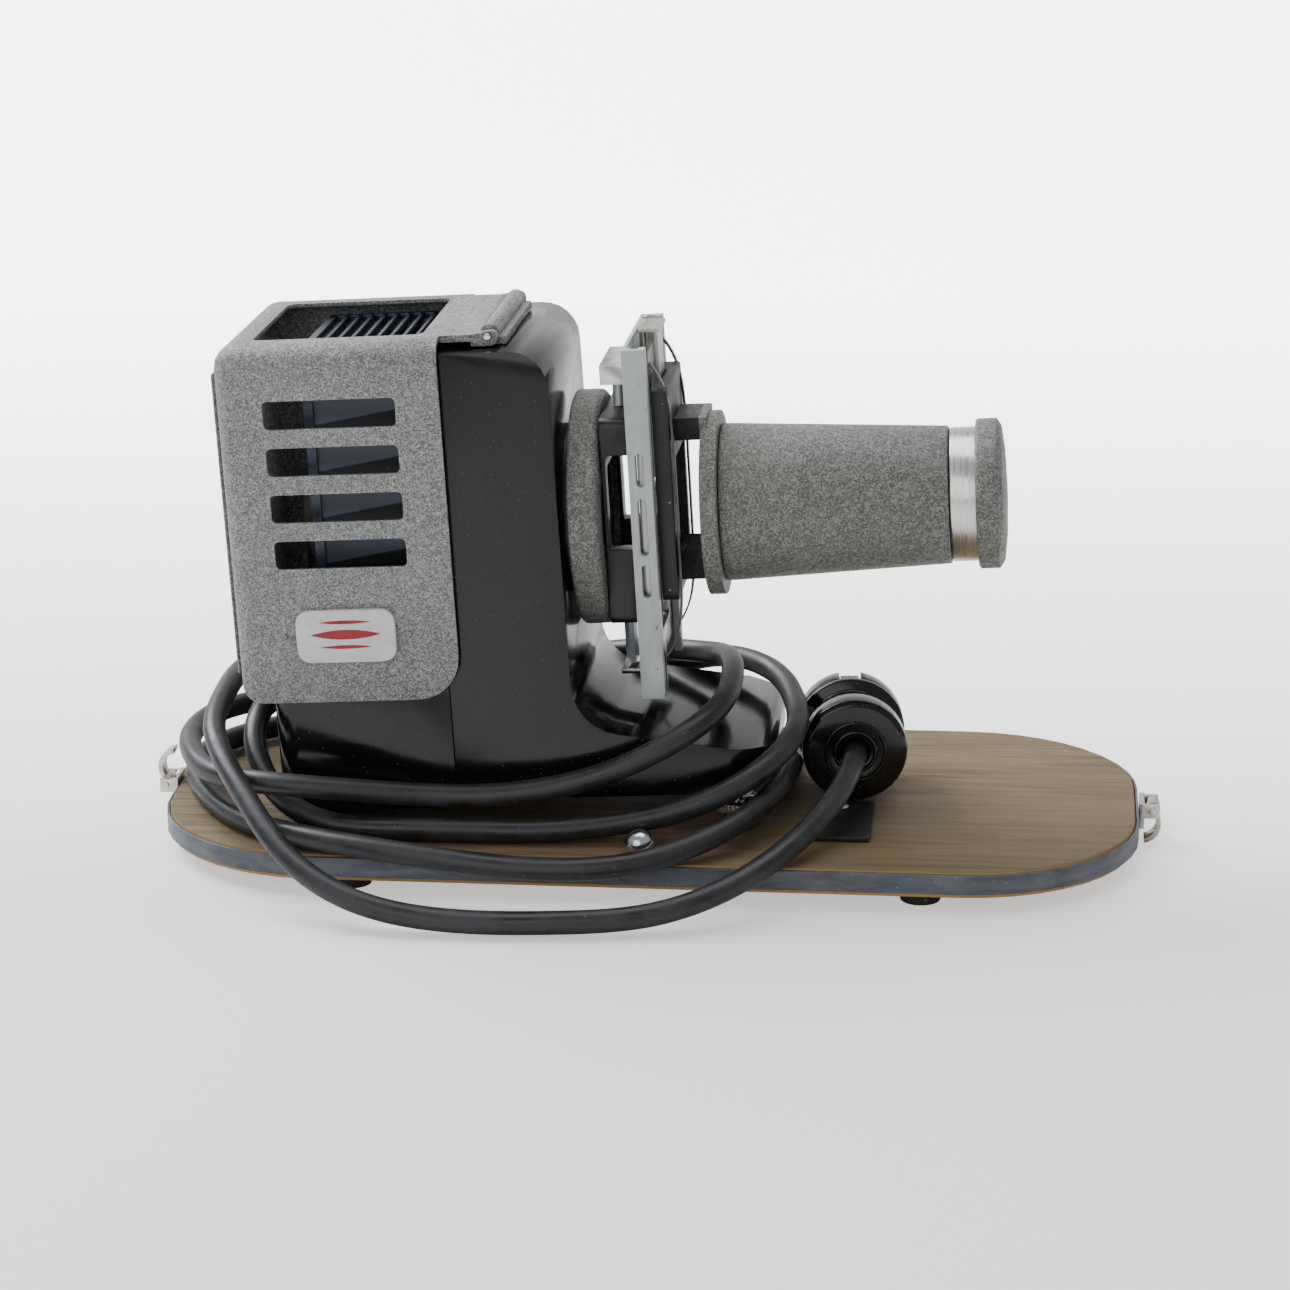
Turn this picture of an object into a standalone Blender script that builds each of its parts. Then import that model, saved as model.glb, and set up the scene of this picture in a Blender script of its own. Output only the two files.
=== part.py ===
"""A small 50 x 50 mm slide projector on its case board, with its mains cord and plug.

Metres, +Z up. +X is where the lens points, -Y is the side with the nameplate, and the floor is at z = 0.
The projector stands nose-up on its front levelling screws. Its own parts are modelled level, in the
projector's frame (x along the optical axis, z up), and an empty at its rear feet carries the tilt.
"""

import math

import bmesh
import bpy
import numpy as np
from mathutils import Matrix, Vector

for old in list(bpy.data.objects):
    bpy.data.objects.remove(old, do_unlink=True)

MM = 0.001
GAP = 0.3 * MM

# Case board
BOARD_LENGTH = 318 * MM
BOARD_WIDTH = 146 * MM
BOARD_CORNER = 56 * MM
BOARD_THICKNESS = 8.7 * MM
BAND_THICKNESS = 0.9 * MM
BAND_HEIGHT = 6.4 * MM
BAND_RISE = 1.5 * MM
FOOT_RADIUS = 7.2 * MM
FOOT_HEIGHT = 4.5 * MM
FOOT_END_INSET = 68 * MM
FOOT_SIDE_INSET = 11 * MM
BALL_RADIUS = 5 * MM
BALL_X = 2 * MM
BALL_EDGE = 11 * MM
BRACKET_X = 65 * MM
BRACKET_WIDTH = 18.8 * MM
BRACKET_THICKNESS = 1.5 * MM
BRACKET_FRONT = -48 * MM
BRACKET_BACK = -11.2 * MM
BRACKET_SCREW_Y = -19 * MM
LATCH_WIDTH = 12 * MM
LATCH_PLATE = 1.6 * MM
LATCH_LUG_REACH = 4.6 * MM
LATCH_PIN_RADIUS = 1.3 * MM
HOOK_WIDTH = 6.4 * MM
HOOK_THICKNESS = 1.5 * MM
HOOK_HEIGHT = 13.6 * MM

# Where the projector stands on the board, and its tilt
REAR_FEET_X = -112 * MM
NOSE_UP = math.radians(3)

# Housing, in the projector's frame
HALF_WIDTH = 41 * MM
WALL = 3 * MM
SEAM_X = 53 * MM
FRONT_X = 92.3 * MM
REAR_X = -6 * MM
BODY_TOP = 152.5 * MM
UNDERSIDE = 3 * MM
ARCH_RISE = 2.6 * MM
SHOE_X = 155 * MM
SHOE_TIP_TOP = 18.4 * MM
SHOE_NOSE_RADIUS = 19 * MM
SHOE_SLOPE_TOP = 24.3 * MM
SHOE_BLEND = 17 * MM
BODY_EDGE = 4.5 * MM
BODY_TOP_CORNER = 12 * MM
REAR_BASE_TOP = 50 * MM
REAR_CORNER = 8 * MM
CHASSIS_THICKNESS = 1.5 * MM
REAR_FOOT_RADIUS = 5.5 * MM
REAR_FOOT_SPREAD = 31 * MM
REAR_FOOT_X = 5 * MM
REAR_FOOT_HEIGHT = 2.9 * MM

# Optical axis and condenser
AXIS_Z = 92 * MM
NECK_RADIUS = 27.5 * MM
SPIGOT_RADIUS = 25 * MM
NECK_BORE = 22.6 * MM
NECK_REAR_X = 66 * MM
RING_RADIUS = 38.3 * MM
RING_X = 93.9 * MM
RING_LENGTH = 9.9 * MM
RING_CHAMFER = 1.4 * MM
HEAT_GLASS_SIDE = 46 * MM
HEAT_GLASS_X = 58 * MM
HEAT_GLASS_THICKNESS = 2.4 * MM

# Lamp house
LAMP_X = 24 * MM
LAMP_RADIUS = 15 * MM
SOCKET_RADIUS = 11.5 * MM
REFLECTOR_X = 2 * MM
REFLECTOR_RADIUS = 24 * MM
POST_X = 12 * MM
POST_Y = 30 * MM
SHIELD_FRONT_X = 51 * MM
SHIELD_TOP = BODY_TOP - 0.5 * MM

# Cover
COVER_REAR_X = -15.5 * MM
COVER_FRONT_X = 57 * MM
COVER_HALF_WIDTH = 43 * MM
COVER_WALL = 1.2 * MM
COVER_BOTTOM = 40.5 * MM
COVER_RISE = 4.5 * MM
COVER_TOP = BODY_TOP + COVER_RISE
COVER_EDGE = 7 * MM
COVER_FRONT_CORNER = 14 * MM
SLOT_REAR_X = 0.3 * MM
SLOT_LENGTH = 42.6 * MM
SLOT_HEIGHT = 9.2 * MM
SLOT_TOP = 139.7 * MM
SLOT_PITCH = 15.2 * MM
SLOT_COUNT = 4
VENT_REAR_X = -4 * MM
VENT_FRONT_X = 51 * MM
VENT_HALF_WIDTH = 30 * MM
TONGUE_FRONT_X = 69 * MM
TONGUE_HALF_WIDTH = 34 * MM
TONGUE_THICKNESS = 2.2 * MM
HINGE_X = 72.5 * MM
HINGE_RISE = 3.9 * MM
HINGE_Z = BODY_TOP + HINGE_RISE
HINGE_PIN_RADIUS = 1.1 * MM
KNUCKLE_RADIUS = 2.9 * MM
KNUCKLE_HALF = 29.5 * MM
NAMEPLATE_X = 21.4 * MM
NAMEPLATE_Z = 62.8 * MM
NAMEPLATE_LENGTH = 32.5 * MM
NAMEPLATE_HEIGHT = 17.6 * MM
NAMEPLATE_THICKNESS = 1.5 * MM
NAMEPLATE_PIN_SPREAD = 20.2 * MM

# Levelling screws
LEVEL_X = 143.5 * MM
LEVEL_SPREAD = 36 * MM
WHEEL_RADIUS = 8.25 * MM
WHEEL_TOP = 2.4 * MM
WHEEL_THICKNESS = 2.9 * MM
WHEEL_TEETH = 36
STUD_RADIUS = 2.3 * MM
STUD_TOP = 13 * MM
CUP_HEIGHT = 2.7 * MM
PAD_RADIUS = 5.2 * MM
PAD_BOTTOM = -6.8 * MM

# Slide changer
GATE_REAR_X = 104.1 * MM
FRAME_REAR_X = 113.6 * MM
FRAME_DEPTH = 7.5 * MM
FRAME_HALF_HEIGHT = 57.2 * MM
FRAME_HALF_WIDTH = 30 * MM
RAIL_WIDTH = 5 * MM
RAIL_SLOT_WIDTH = 2.8 * MM
CARRIAGE_THICKNESS = 2.2 * MM
CARRIAGE_HALF_HEIGHT = 50 * MM
SLIDE_WINDOW = 38 * MM
SLIDE_PITCH = 46 * MM
RAIL_SLOTS = ((18.4 * MM, 11.1 * MM), (-0.2 * MM, 19 * MM), (-18.1 * MM, 11 * MM))
THUMB_TOP = 2.6 * MM
THUMB_THICKNESS = 1.2 * MM
THUMB_HALF_WIDTH = 8.5 * MM
GATE_WINDOW = 34 * MM
GATE_HALF_WIDTH = 24 * MM
GATE_REACH = 34 * MM
GATE_OPENING_BELOW = 9 * MM
GATE_OPENING_ABOVE = 22 * MM
CATCH_REACH = 50 * MM
GUIDE_FRONT_X = 126.6 * MM
GUIDE_HALF_WIDTH = 23 * MM
GUIDE_HALF_HEIGHT = 35 * MM

# Lens
FLANGE_X = 135.5 * MM
FLANGE_RADIUS = 30 * MM
FLANGE_THICKNESS = 5.4 * MM
ARM_HALF_WIDTH = 11 * MM
ARM_UPPER = 27 * MM
ARM_UPPER_HEIGHT = 7.4 * MM
ARM_LOWER = -17.4 * MM
ARM_LOWER_HEIGHT = 11 * MM
TUBE_FRONT_X = 214.2 * MM
TUBE_REAR_RADIUS = 25.6 * MM
TUBE_FRONT_RADIUS = 22.3 * MM
TUBE_BORE = 20 * MM
CELL_RADIUS = 19.6 * MM
CELL_REAR_X = 160 * MM
FOCUS_RING_RADIUS = 21.7 * MM
FOCUS_RING_FRONT_X = 226.5 * MM
CAP_RADIUS = 24.3 * MM
CAP_REAR_X = 222.8 * MM
CAP_FRONT_X = 232.6 * MM

# Mains cord and plug, placed on the board
CORD_RADIUS = 3.8 * MM
INLET_HEIGHT = 12 * MM
INLET_DEPTH = 12 * MM
INLET_NECK = 4.5 * MM
INLET_Y = 14 * MM
INLET_Z = 31.1 * MM
RELIEF_LENGTH = 22 * MM
CORD_EXIT_X = -14.4 * MM
CORD_EXIT_Y = -14 * MM
CORD_SPACING = 23 * MM
PLUG_FACE = Vector((0.0676, -0.0105, 0.0315))
PLUG_YAW = math.radians(7)
PLUG_GRIP_RADIUS = 17.2 * MM
PLUG_INSERT_RADIUS = 18 * MM
PIN_RADIUS = 2.4 * MM
PIN_LENGTH = 19 * MM
PIN_SPREAD = 9.5 * MM
PLUG_GRIP_LENGTH = 10 * MM
PLUG_WAIST_RADIUS = 14.5 * MM
PLUG_WAIST_END = 21 * MM
PLUG_SHELL_LENGTH = 25 * MM
PLUG_INSERT_LENGTH = 7 * MM
PLUG_ENTRY_RADIUS = 4.6 * MM
PLUG_CAVITY_RADIUS = 12 * MM

BOARD_TOP = FOOT_HEIGHT + BOARD_THICKNESS
STEPS = 40

# The route of the cord's centreline, in millimetres, from its strain relief to the plug
CORD_ROUTE = [
    (-128, -14.4, 43.5), (-128, -21, 43), (-127.8, -30, 40.2), (-125.4, -39.5, 34.5),
    (-119.5, -48, 27.8), (-109.5, -54.5, 21.4), (-96, -58.3, 18), (-80, -59, 17.4), (-58, -58.8, 17.4),
    (-30, -57.5, 17.5), (-4, -55, 20.2), (17, -53, 25.2), (36.5, -46.3, 34), (48, -27.5, 41.5),
    (47.4, -2, 44.8), (38.5, 25, 47.6), (21, 45.5, 46.8), (6, 52.5, 42.5), (-22, 57.5, 34),
    (-54, 57.5, 27), (-86, 57, 25.5), (-116, 51.5, 27), (-141, 36, 29.5), (-153.5, 15, 30.2),
    (-155, -6, 30.2), (-150, -26, 30.2), (-139.5, -45, 30.4), (-120, -58, 31.5), (-94, -58, 30),
    (-68, -54, 27.5), (-40, -53.5, 28.5), (-12, -52.5, 35), (8.5, -49, 44), (23.5, -33.5, 51.5),
    (27, -9, 55.5), (24, 14, 55.5), (14, 34, 51.5), (-4, 48, 48), (-24, 57.5, 43.5), (-46, 64.5, 36.5),
    (-75, 66.5, 26), (-105, 62, 18.4), (-132, 49, 17.4), (-150, 29, 17.4), (-155.5, 7, 17.4),
    (-151, -15, 17.4), (-141, -36, 17.4), (-127, -54.5, 17.4), (-106, -68.5, 17.5), (-78, -79, 17.3),
    (-50, -83.5, 15.4), (-24, -84.5, 14.4), (2, -81, 15.8), (23, -69.5, 20), (39.5, -49, 25.2),
    (46, -27, 28.2), (46.6, -10, 27), (45.5, 4, 22.8), (45, 17, 18.5), (44.8, 32, 17.5),
    (37.5, 49, 17.4), (22, 60, 17.4), (0, 65, 17.4), (-28, 70, 17.5), (-60, 74.5, 19.5), (-90, 75.5, 28),
    (-115, 62, 37), (-132, 43, 43.5), (-140, 19, 47.5), (-141.5, -3, 48), (-141.3, -19, 46.6),
    (-140, -36, 43.8), (-133.5, -54.5, 38.8), (-121, -73.5, 29.5), (-105.5, -91.5, 18.5),
    (-82, -103.5, 9), (-52, -107, 4.8), (-20, -105.5, 4.7), (9, -101, 6.3), (32, -91, 12),
    (48, -75, 18.5), (58, -57, 23.5), (64, -41, 27.8), (66.8, -26, 30.6), (67.8, -13, 31.4),
    (67.2, -6.5, 31.5),
]




def collection(name):
    made = bpy.data.collections.new(name)
    bpy.context.scene.collection.children.link(made)
    return made


PARTS = collection("slide_projector")
CUTTERS = collection("cutters")


# Finishes: name to colour, roughness and metallic
FINISHES = {
    "plywood": ((0.36, 0.28, 0.17), 0.6, 0.0),
    "blue_band": ((0.10, 0.11, 0.13), 0.45, 0.0),
    "rubber": ((0.02, 0.02, 0.022), 0.8, 0.0),
    "nickel": ((0.72, 0.70, 0.66), 0.2, 1.0),
    "chrome": ((0.80, 0.80, 0.80), 0.1, 1.0),
    "black_gloss": ((0.008, 0.008, 0.010), 0.15, 0.0),
    "black_paint": ((0.02, 0.02, 0.022), 0.45, 0.0),
    "grey_wrinkle": ((0.20, 0.20, 0.18), 0.45, 0.0),
    "dark_wrinkle": ((0.12, 0.12, 0.11), 0.5, 0.0),
    "pale_paint": ((0.55, 0.60, 0.57), 0.35, 0.0),
    "steel": ((0.45, 0.44, 0.42), 0.35, 1.0),
    "shield_steel": ((0.10, 0.11, 0.13), 0.5, 0.6),
    "aluminium": ((0.80, 0.80, 0.80), 0.25, 1.0),
    "enamel": ((0.75, 0.77, 0.76), 0.15, 0.0),
    "mirror": ((0.90, 0.90, 0.90), 0.03, 1.0),
    "glass": ((0.85, 0.90, 0.90), 0.05, 0.0),
    "brass": ((0.60, 0.45, 0.20), 0.3, 1.0),
    "ceramic": ((0.70, 0.68, 0.62), 0.5, 0.0),
    "bakelite": ((0.010, 0.008, 0.008), 0.12, 0.0),
}


def paint(obj, finish):
    """Gives the object a material of its own in the named finish."""
    colour, roughness, metallic = FINISHES[finish]
    made = bpy.data.materials.new(obj.name + "_" + finish)
    made.use_nodes = True
    shader = made.node_tree.nodes["Principled BSDF"]
    shader.inputs["Base Color"].default_value = (*colour, 1)
    shader.inputs["Roughness"].default_value = roughness
    shader.inputs["Metallic"].default_value = metallic
    obj.data.materials.clear()
    obj.data.materials.append(made)


def seat(obj, carrier):
    """Hangs the object on an empty, keeping its mesh in the coordinates that the carrier's chain starts
    from."""
    if carrier is not None:
        obj.parent = carrier
        obj.location = -Vector(carrier["origin"])
    return obj


def register(mesh, name, finish, carrier):
    """Links a mesh as an object: a part if it has a finish, and a cutter or a solid to be joined if not."""
    obj = bpy.data.objects.new(name, mesh)
    if finish is None:
        CUTTERS.objects.link(obj)
        obj.hide_render = True
        obj.display_type = "WIRE"
    else:
        PARTS.objects.link(obj)
        paint(obj, finish)
    return seat(obj, carrier)


def carrier_empty(name, origin, base):
    """An empty at origin, in the coordinates of the base empty that carries it, or in the world's."""
    empty = bpy.data.objects.new(name, None)
    PARTS.objects.link(empty)
    empty.location = origin
    empty["origin"] = list(origin)
    if base is not None:
        empty.parent = base
        empty.location = Vector(origin) - Vector(base["origin"])
    return empty


def box(name, low, high, finish=None, carrier=None, edge=0.0, segments=2):
    """A box between two corners, with its edges rounded if edge isn't 0."""
    low, high = Vector(low), Vector(high)
    mesh = bpy.data.meshes.new(name)
    bm = bmesh.new()
    bmesh.ops.create_cube(bm, size=1)
    bmesh.ops.scale(bm, vec=high - low, verts=bm.verts)
    bmesh.ops.translate(bm, vec=(low + high) / 2, verts=bm.verts)
    bm.to_mesh(mesh)
    bm.free()
    obj = register(mesh, name, finish, carrier)
    if edge:
        round_edges(obj, edge, segments)
    return obj


AXES = {
    "x": Matrix(((0, 0, 1), (0, 1, 0), (-1, 0, 0))),
    "y": Matrix(((1, 0, 0), (0, 0, 1), (0, -1, 0))),
    "z": Matrix.Identity(3),
}


def rod(name, start, end, radius, finish=None, carrier=None, end_radius=None, segments=24):
    """A cylinder or cone frustum from start to end."""
    start, end = Vector(start), Vector(end)
    mesh = bpy.data.meshes.new(name)
    bm = bmesh.new()
    top = radius if end_radius is None else end_radius
    bmesh.ops.create_cone(
        bm, cap_ends=True, segments=segments, radius1=radius, radius2=top, depth=(end - start).length
    )
    turn = (end - start).to_track_quat("Z", "Y").to_matrix()
    bmesh.ops.transform(bm, matrix=Matrix.Translation((start + end) / 2) @ turn.to_4x4(), verts=bm.verts)
    bm.to_mesh(mesh)
    bm.free()
    obj = register(mesh, name, finish, carrier)
    smooth(obj)
    return obj


def ball(name, centre, radius, finish=None, carrier=None):
    mesh = bpy.data.meshes.new(name)
    bm = bmesh.new()
    bmesh.ops.create_uvsphere(bm, u_segments=20, v_segments=10, radius=radius)
    bmesh.ops.translate(bm, vec=centre, verts=bm.verts)
    bm.to_mesh(mesh)
    bm.free()
    obj = register(mesh, name, finish, carrier)
    smooth(obj)
    return obj


def smooth(obj):
    obj.data.shade_smooth()
    obj.data.set_sharp_from_angle(angle=math.radians(35))


def turned(name, profile, origin, axis, finish=None, carrier=None, steps=STEPS):
    """A ring or disc turned about an axis through origin.

    The profile holds (distance along the axis, radius). It goes along the outer side against the axis
    direction first, and back along the inner side, so that the faces point out."""
    mesh = bpy.data.meshes.new(name)
    bm = bmesh.new()
    verts = [bm.verts.new((radius, 0, along)) for along, radius in profile]
    closed = profile[0][1] > 0 and profile[-1][1] > 0
    pairs = list(zip(verts, verts[1:])) + ([(verts[-1], verts[0])] if closed else [])
    for a, b in pairs:
        bm.edges.new((a, b))
    bm.to_mesh(mesh)
    bm.free()
    obj = register(mesh, name, finish, carrier)
    obj.location += Vector(origin)
    obj.rotation_euler = AXES[axis].to_euler()
    screw = obj.modifiers.new("turn", "SCREW")
    screw.steps = screw.render_steps = steps
    screw.use_merge_vertices = True
    screw.merge_threshold = 0.00001
    screw.use_smooth_shade = True
    return obj


def rounded(points, segments=5):
    """An outline from corners (a, b, radius): each corner with a radius becomes an arc."""
    outline = []
    count = len(points)
    for i, (a, b, radius) in enumerate(points):
        corner = Vector((a, b))
        if radius == 0:
            outline.append(corner)
            continue
        before = (Vector(points[i - 1][:2]) - corner).normalized()
        after = (Vector(points[(i + 1) % count][:2]) - corner).normalized()
        half = before.angle(after) / 2
        centre = corner + (before + after).normalized() * (radius / math.sin(half))
        reach = radius / math.tan(half)
        start = corner + before * reach - centre
        end = corner + after * reach - centre
        sweep = start.angle_signed(end)
        for k in range(segments + 1):
            turn = Matrix.Rotation(-sweep * k / segments, 2)
            outline.append(centre + turn @ start)
    return outline


def rounded_rectangle(half_a, half_b, radius, segments=8, centre=(0, 0)):
    a, b = centre
    return rounded(
        [
            (a - half_a, b - half_b, radius),
            (a + half_a, b - half_b, radius),
            (a + half_a, b + half_b, radius),
            (a - half_a, b + half_b, radius),
        ],
        segments,
    )


PLANES = {
    "xy": Matrix.Identity(3),
    "xz": Matrix(((1, 0, 0), (0, 0, -1), (0, 1, 0))),
    "yz": Matrix(((0, 0, 1), (1, 0, 0), (0, 1, 0))),
}


def plate(name, outlines, low, high, plane, finish=None, carrier=None):
    """A flat outline, with any further outlines as holes, extruded from low to high across its plane."""
    curve = bpy.data.curves.new(name, "CURVE")
    curve.dimensions = "2D"
    curve.fill_mode = "BOTH"
    curve.extrude = (high - low) / 2
    for outline in outlines:
        spline = curve.splines.new("POLY")
        spline.points.add(len(outline) - 1)
        for point, place in zip(spline.points, outline):
            point.co = (place[0], place[1], 0, 1)
        spline.use_cyclic_u = True
    flat = bpy.data.objects.new(name, curve)
    CUTTERS.objects.link(flat)
    mesh = bpy.data.meshes.new_from_object(flat.evaluated_get(bpy.context.evaluated_depsgraph_get()))
    bpy.data.objects.remove(flat)
    mesh.name = name
    bm = bmesh.new()
    bm.from_mesh(mesh)
    bmesh.ops.remove_doubles(bm, verts=bm.verts, dist=0.00001)
    turn = PLANES[plane]
    across = turn @ Vector((0, 0, 1))
    middle = across * (low + high) / 2 * sum(across)
    bmesh.ops.transform(bm, matrix=Matrix.Translation(middle) @ turn.to_4x4(), verts=bm.verts)
    bmesh.ops.recalc_face_normals(bm, faces=bm.faces)
    bm.to_mesh(mesh)
    bm.free()
    return register(mesh, name, finish, carrier)


def cubic_through(points, spacing):
    """Points every spacing along the natural cubic spline through the given points, with one close to the
    start.

    The knots are spaced by the square root of the distance, which keeps the curve from overshooting."""
    points = np.array(points, float)
    knots = np.append(0, np.cumsum(np.linalg.norm(np.diff(points, axis=0), axis=1) ** 0.5))
    gaps = np.diff(knots)
    slopes = np.diff(points, axis=0) / gaps[:, None]
    count = len(points)
    system = np.eye(count)
    target = np.zeros((count, 3))
    for i in range(1, count - 1):
        system[i, i - 1 : i + 2] = gaps[i - 1], 2 * (gaps[i - 1] + gaps[i]), gaps[i]
        target[i] = 6 * (slopes[i] - slopes[i - 1])
    second = np.linalg.solve(system, target)
    fine = np.linspace(0, knots[-1], 40 * count)
    piece = np.clip(np.searchsorted(knots, fine, side="right") - 1, 0, count - 2)
    gap = gaps[piece][:, None]
    after = (fine - knots[piece])[:, None]
    before = gap - after
    curve = (second[piece] * before**3 + second[piece + 1] * after**3) / (6 * gap)
    curve += (points[piece] / gap - second[piece] * gap / 6) * before
    curve += (points[piece + 1] / gap - second[piece + 1] * gap / 6) * after
    along = np.append(0, np.cumsum(np.linalg.norm(np.diff(curve, axis=0), axis=1)))
    places = np.linspace(0, along[-1], int(round(along[-1] / spacing)) + 1)
    places = np.insert(places, 1, spacing / 4)
    return np.stack([np.interp(places, along, curve[:, k]) for k in range(3)], axis=1)


def wire(name, points, radius, finish, carrier=None, resolution=2):
    """A round wire or cord through the points, with closed ends."""
    curve = bpy.data.curves.new(name, "CURVE")
    curve.dimensions = "3D"
    curve.bevel_depth = radius
    curve.bevel_resolution = resolution
    curve.use_fill_caps = True
    spline = curve.splines.new("POLY")
    spline.points.add(len(points) - 1)
    for point, place in zip(spline.points, points):
        point.co = (*place, 1)
    return register(curve, name, finish, carrier)


def round_edges(obj, width, segments=2, angle=50):
    bevel = obj.modifiers.new("edges", "BEVEL")
    bevel.width = width
    bevel.segments = segments
    bevel.limit_method = "ANGLE"
    bevel.angle_limit = math.radians(angle)
    return obj


def combine(obj, other, operation):
    """Cuts, joins or intersects obj with another solid, which leaves the visible parts."""
    boolean = obj.modifiers.new(operation.lower(), "BOOLEAN")
    boolean.object = other
    boolean.operation = operation
    boolean.solver = "EXACT"
    return obj


def cut(obj, *cutters):
    for cutter in cutters:
        combine(obj, cutter, "DIFFERENCE")
    return obj


def join(obj, *others):
    for other in others:
        combine(obj, other, "UNION")
    return obj


def case_board():
    """Plywood board with a band round its edge, on four rubber feet, with a ball stud and a bracket."""
    half_length = BOARD_LENGTH / 2
    half_width = BOARD_WIDTH / 2
    plate(
        "base_board", [rounded_rectangle(half_length, half_width, BOARD_CORNER, 10)],
        FOOT_HEIGHT, BOARD_TOP, "xy", "plywood",
    )
    loops = [
        rounded_rectangle(half_length + more, half_width + more, BOARD_CORNER + more, 10)
        for more in (GAP + BAND_THICKNESS, GAP)
    ]
    low = FOOT_HEIGHT + BAND_RISE
    plate("edge_band", loops, low, low + BAND_HEIGHT, "xy", "blue_band")
    for x_side, x_name in ((-1, "rear"), (1, "front")):
        for y_side, y_name in ((-1, "right"), (1, "left")):
            x = x_side * (half_length - FOOT_END_INSET)
            y = y_side * (half_width - FOOT_SIDE_INSET)
            rod(
                f"board_foot_{x_name}_{y_name}", (x, y, 0), (x, y, FOOT_HEIGHT - GAP),
                FOOT_RADIUS * 0.88, "rubber", end_radius=FOOT_RADIUS,
            )
    ball_y = BALL_EDGE - half_width
    base = BOARD_TOP + GAP
    dome = [
        (BALL_RADIUS * math.sin(turn), BALL_RADIUS * math.cos(turn))
        for turn in np.radians((90, 70, 50, 30, 10, -10, -25))
    ]
    lift = base + BALL_RADIUS * math.sin(math.radians(25))
    dome.append((dome[-1][0], 0))
    turned("ball_stud", dome, (BALL_X, ball_y, lift), "z", "chrome", steps=24)
    middle = (BRACKET_FRONT + BRACKET_BACK) / 2
    outline = rounded_rectangle(
        BRACKET_WIDTH / 2, (BRACKET_BACK - BRACKET_FRONT) / 2, 1.5 * MM, 3, (BRACKET_X, middle)
    )
    top = base + BRACKET_THICKNESS
    plate("plug_bracket", [outline], base, top, "xy", "black_paint")
    head = [(1.6 * MM, 0), (1.3 * MM, 1.2 * MM), (0.7 * MM, 1.9 * MM), (0, 2.1 * MM), (0, 0)]
    turned(
        "bracket_screw", head, (BRACKET_X - 1 * MM, BRACKET_SCREW_Y, top + GAP), "z", "nickel", steps=16
    )


def case_latch(side, name, raised):
    """A lug plate on the board's end, and a curved hook that swings on its pin.

    The hook stands up where raised is 1, and hangs down where it is -1."""
    face = BOARD_LENGTH / 2 + GAP + BAND_THICKNESS + GAP
    pin_x = side * (face + LATCH_PLATE + LATCH_LUG_REACH - 1.9 * MM)
    pin_z = BOARD_TOP - 1.2 * MM
    plate_box = box(
        f"{name}_latch_plate",
        (min(side * face, side * (face + LATCH_PLATE)), -LATCH_WIDTH / 2, FOOT_HEIGHT + BAND_RISE),
        (max(side * face, side * (face + LATCH_PLATE)), LATCH_WIDTH / 2, BOARD_TOP + 1.5 * MM),
        "nickel",
    )
    lug_outer = side * (face + LATCH_PLATE + LATCH_LUG_REACH)
    lug_inner = side * (face + 0.4 * MM)
    for y_side in (-1, 1):
        y = y_side * (LATCH_WIDTH / 2 - 1 * MM)
        lug = box(
            f"{name}_lug",
            (min(lug_inner, lug_outer), y - 1 * MM, pin_z - 2.4 * MM),
            (max(lug_inner, lug_outer), y + 1 * MM, pin_z + 2.2 * MM),
        )
        join(plate_box, lug)
    half_pin = LATCH_WIDTH / 2 + 0.5 * MM
    pin = rod(
        f"{name}_latch_pin", (pin_x, -half_pin, pin_z), (pin_x, half_pin, pin_z), LATCH_PIN_RADIUS,
            segments=16
    )
    join(plate_box, pin)
    axis = carrier_empty(f"{name}_latch_axis", (pin_x, 0, pin_z), None)
    eye_bore = LATCH_PIN_RADIUS + 0.2 * MM
    eye = LATCH_PIN_RADIUS + 1.2 * MM
    arc = []
    bow = HOOK_HEIGHT * 0.42
    for radius, turns in ((bow + HOOK_THICKNESS / 2, range(-70, 81, 15)), (bow - HOOK_THICKNESS / 2,
        range(80, -71, -15))):
        for turn in turns:
            a = math.radians(turn)
            arc.append((pin_x + side * (radius * math.cos(a) - bow * 0.62),
                pin_z + raised * (bow * 0.95 + radius * math.sin(a))))
    hook = plate(f"{name}_latch_hook", [arc], -HOOK_WIDTH / 2, HOOK_WIDTH / 2, "xz", "nickel", axis)
    knuckle = rod(
        f"{name}_hook_eye", (pin_x, -HOOK_WIDTH / 2, pin_z), (pin_x, HOOK_WIDTH / 2, pin_z), eye,
        carrier=axis, segments=16,
    )
    join(hook, knuckle)
    hole = rod(
        f"{name}_hook_bore", (pin_x, -HOOK_WIDTH, pin_z), (pin_x, HOOK_WIDTH, pin_z), eye_bore,
        carrier=axis, segments=16,
    )
    cut(hook, hole)


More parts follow.
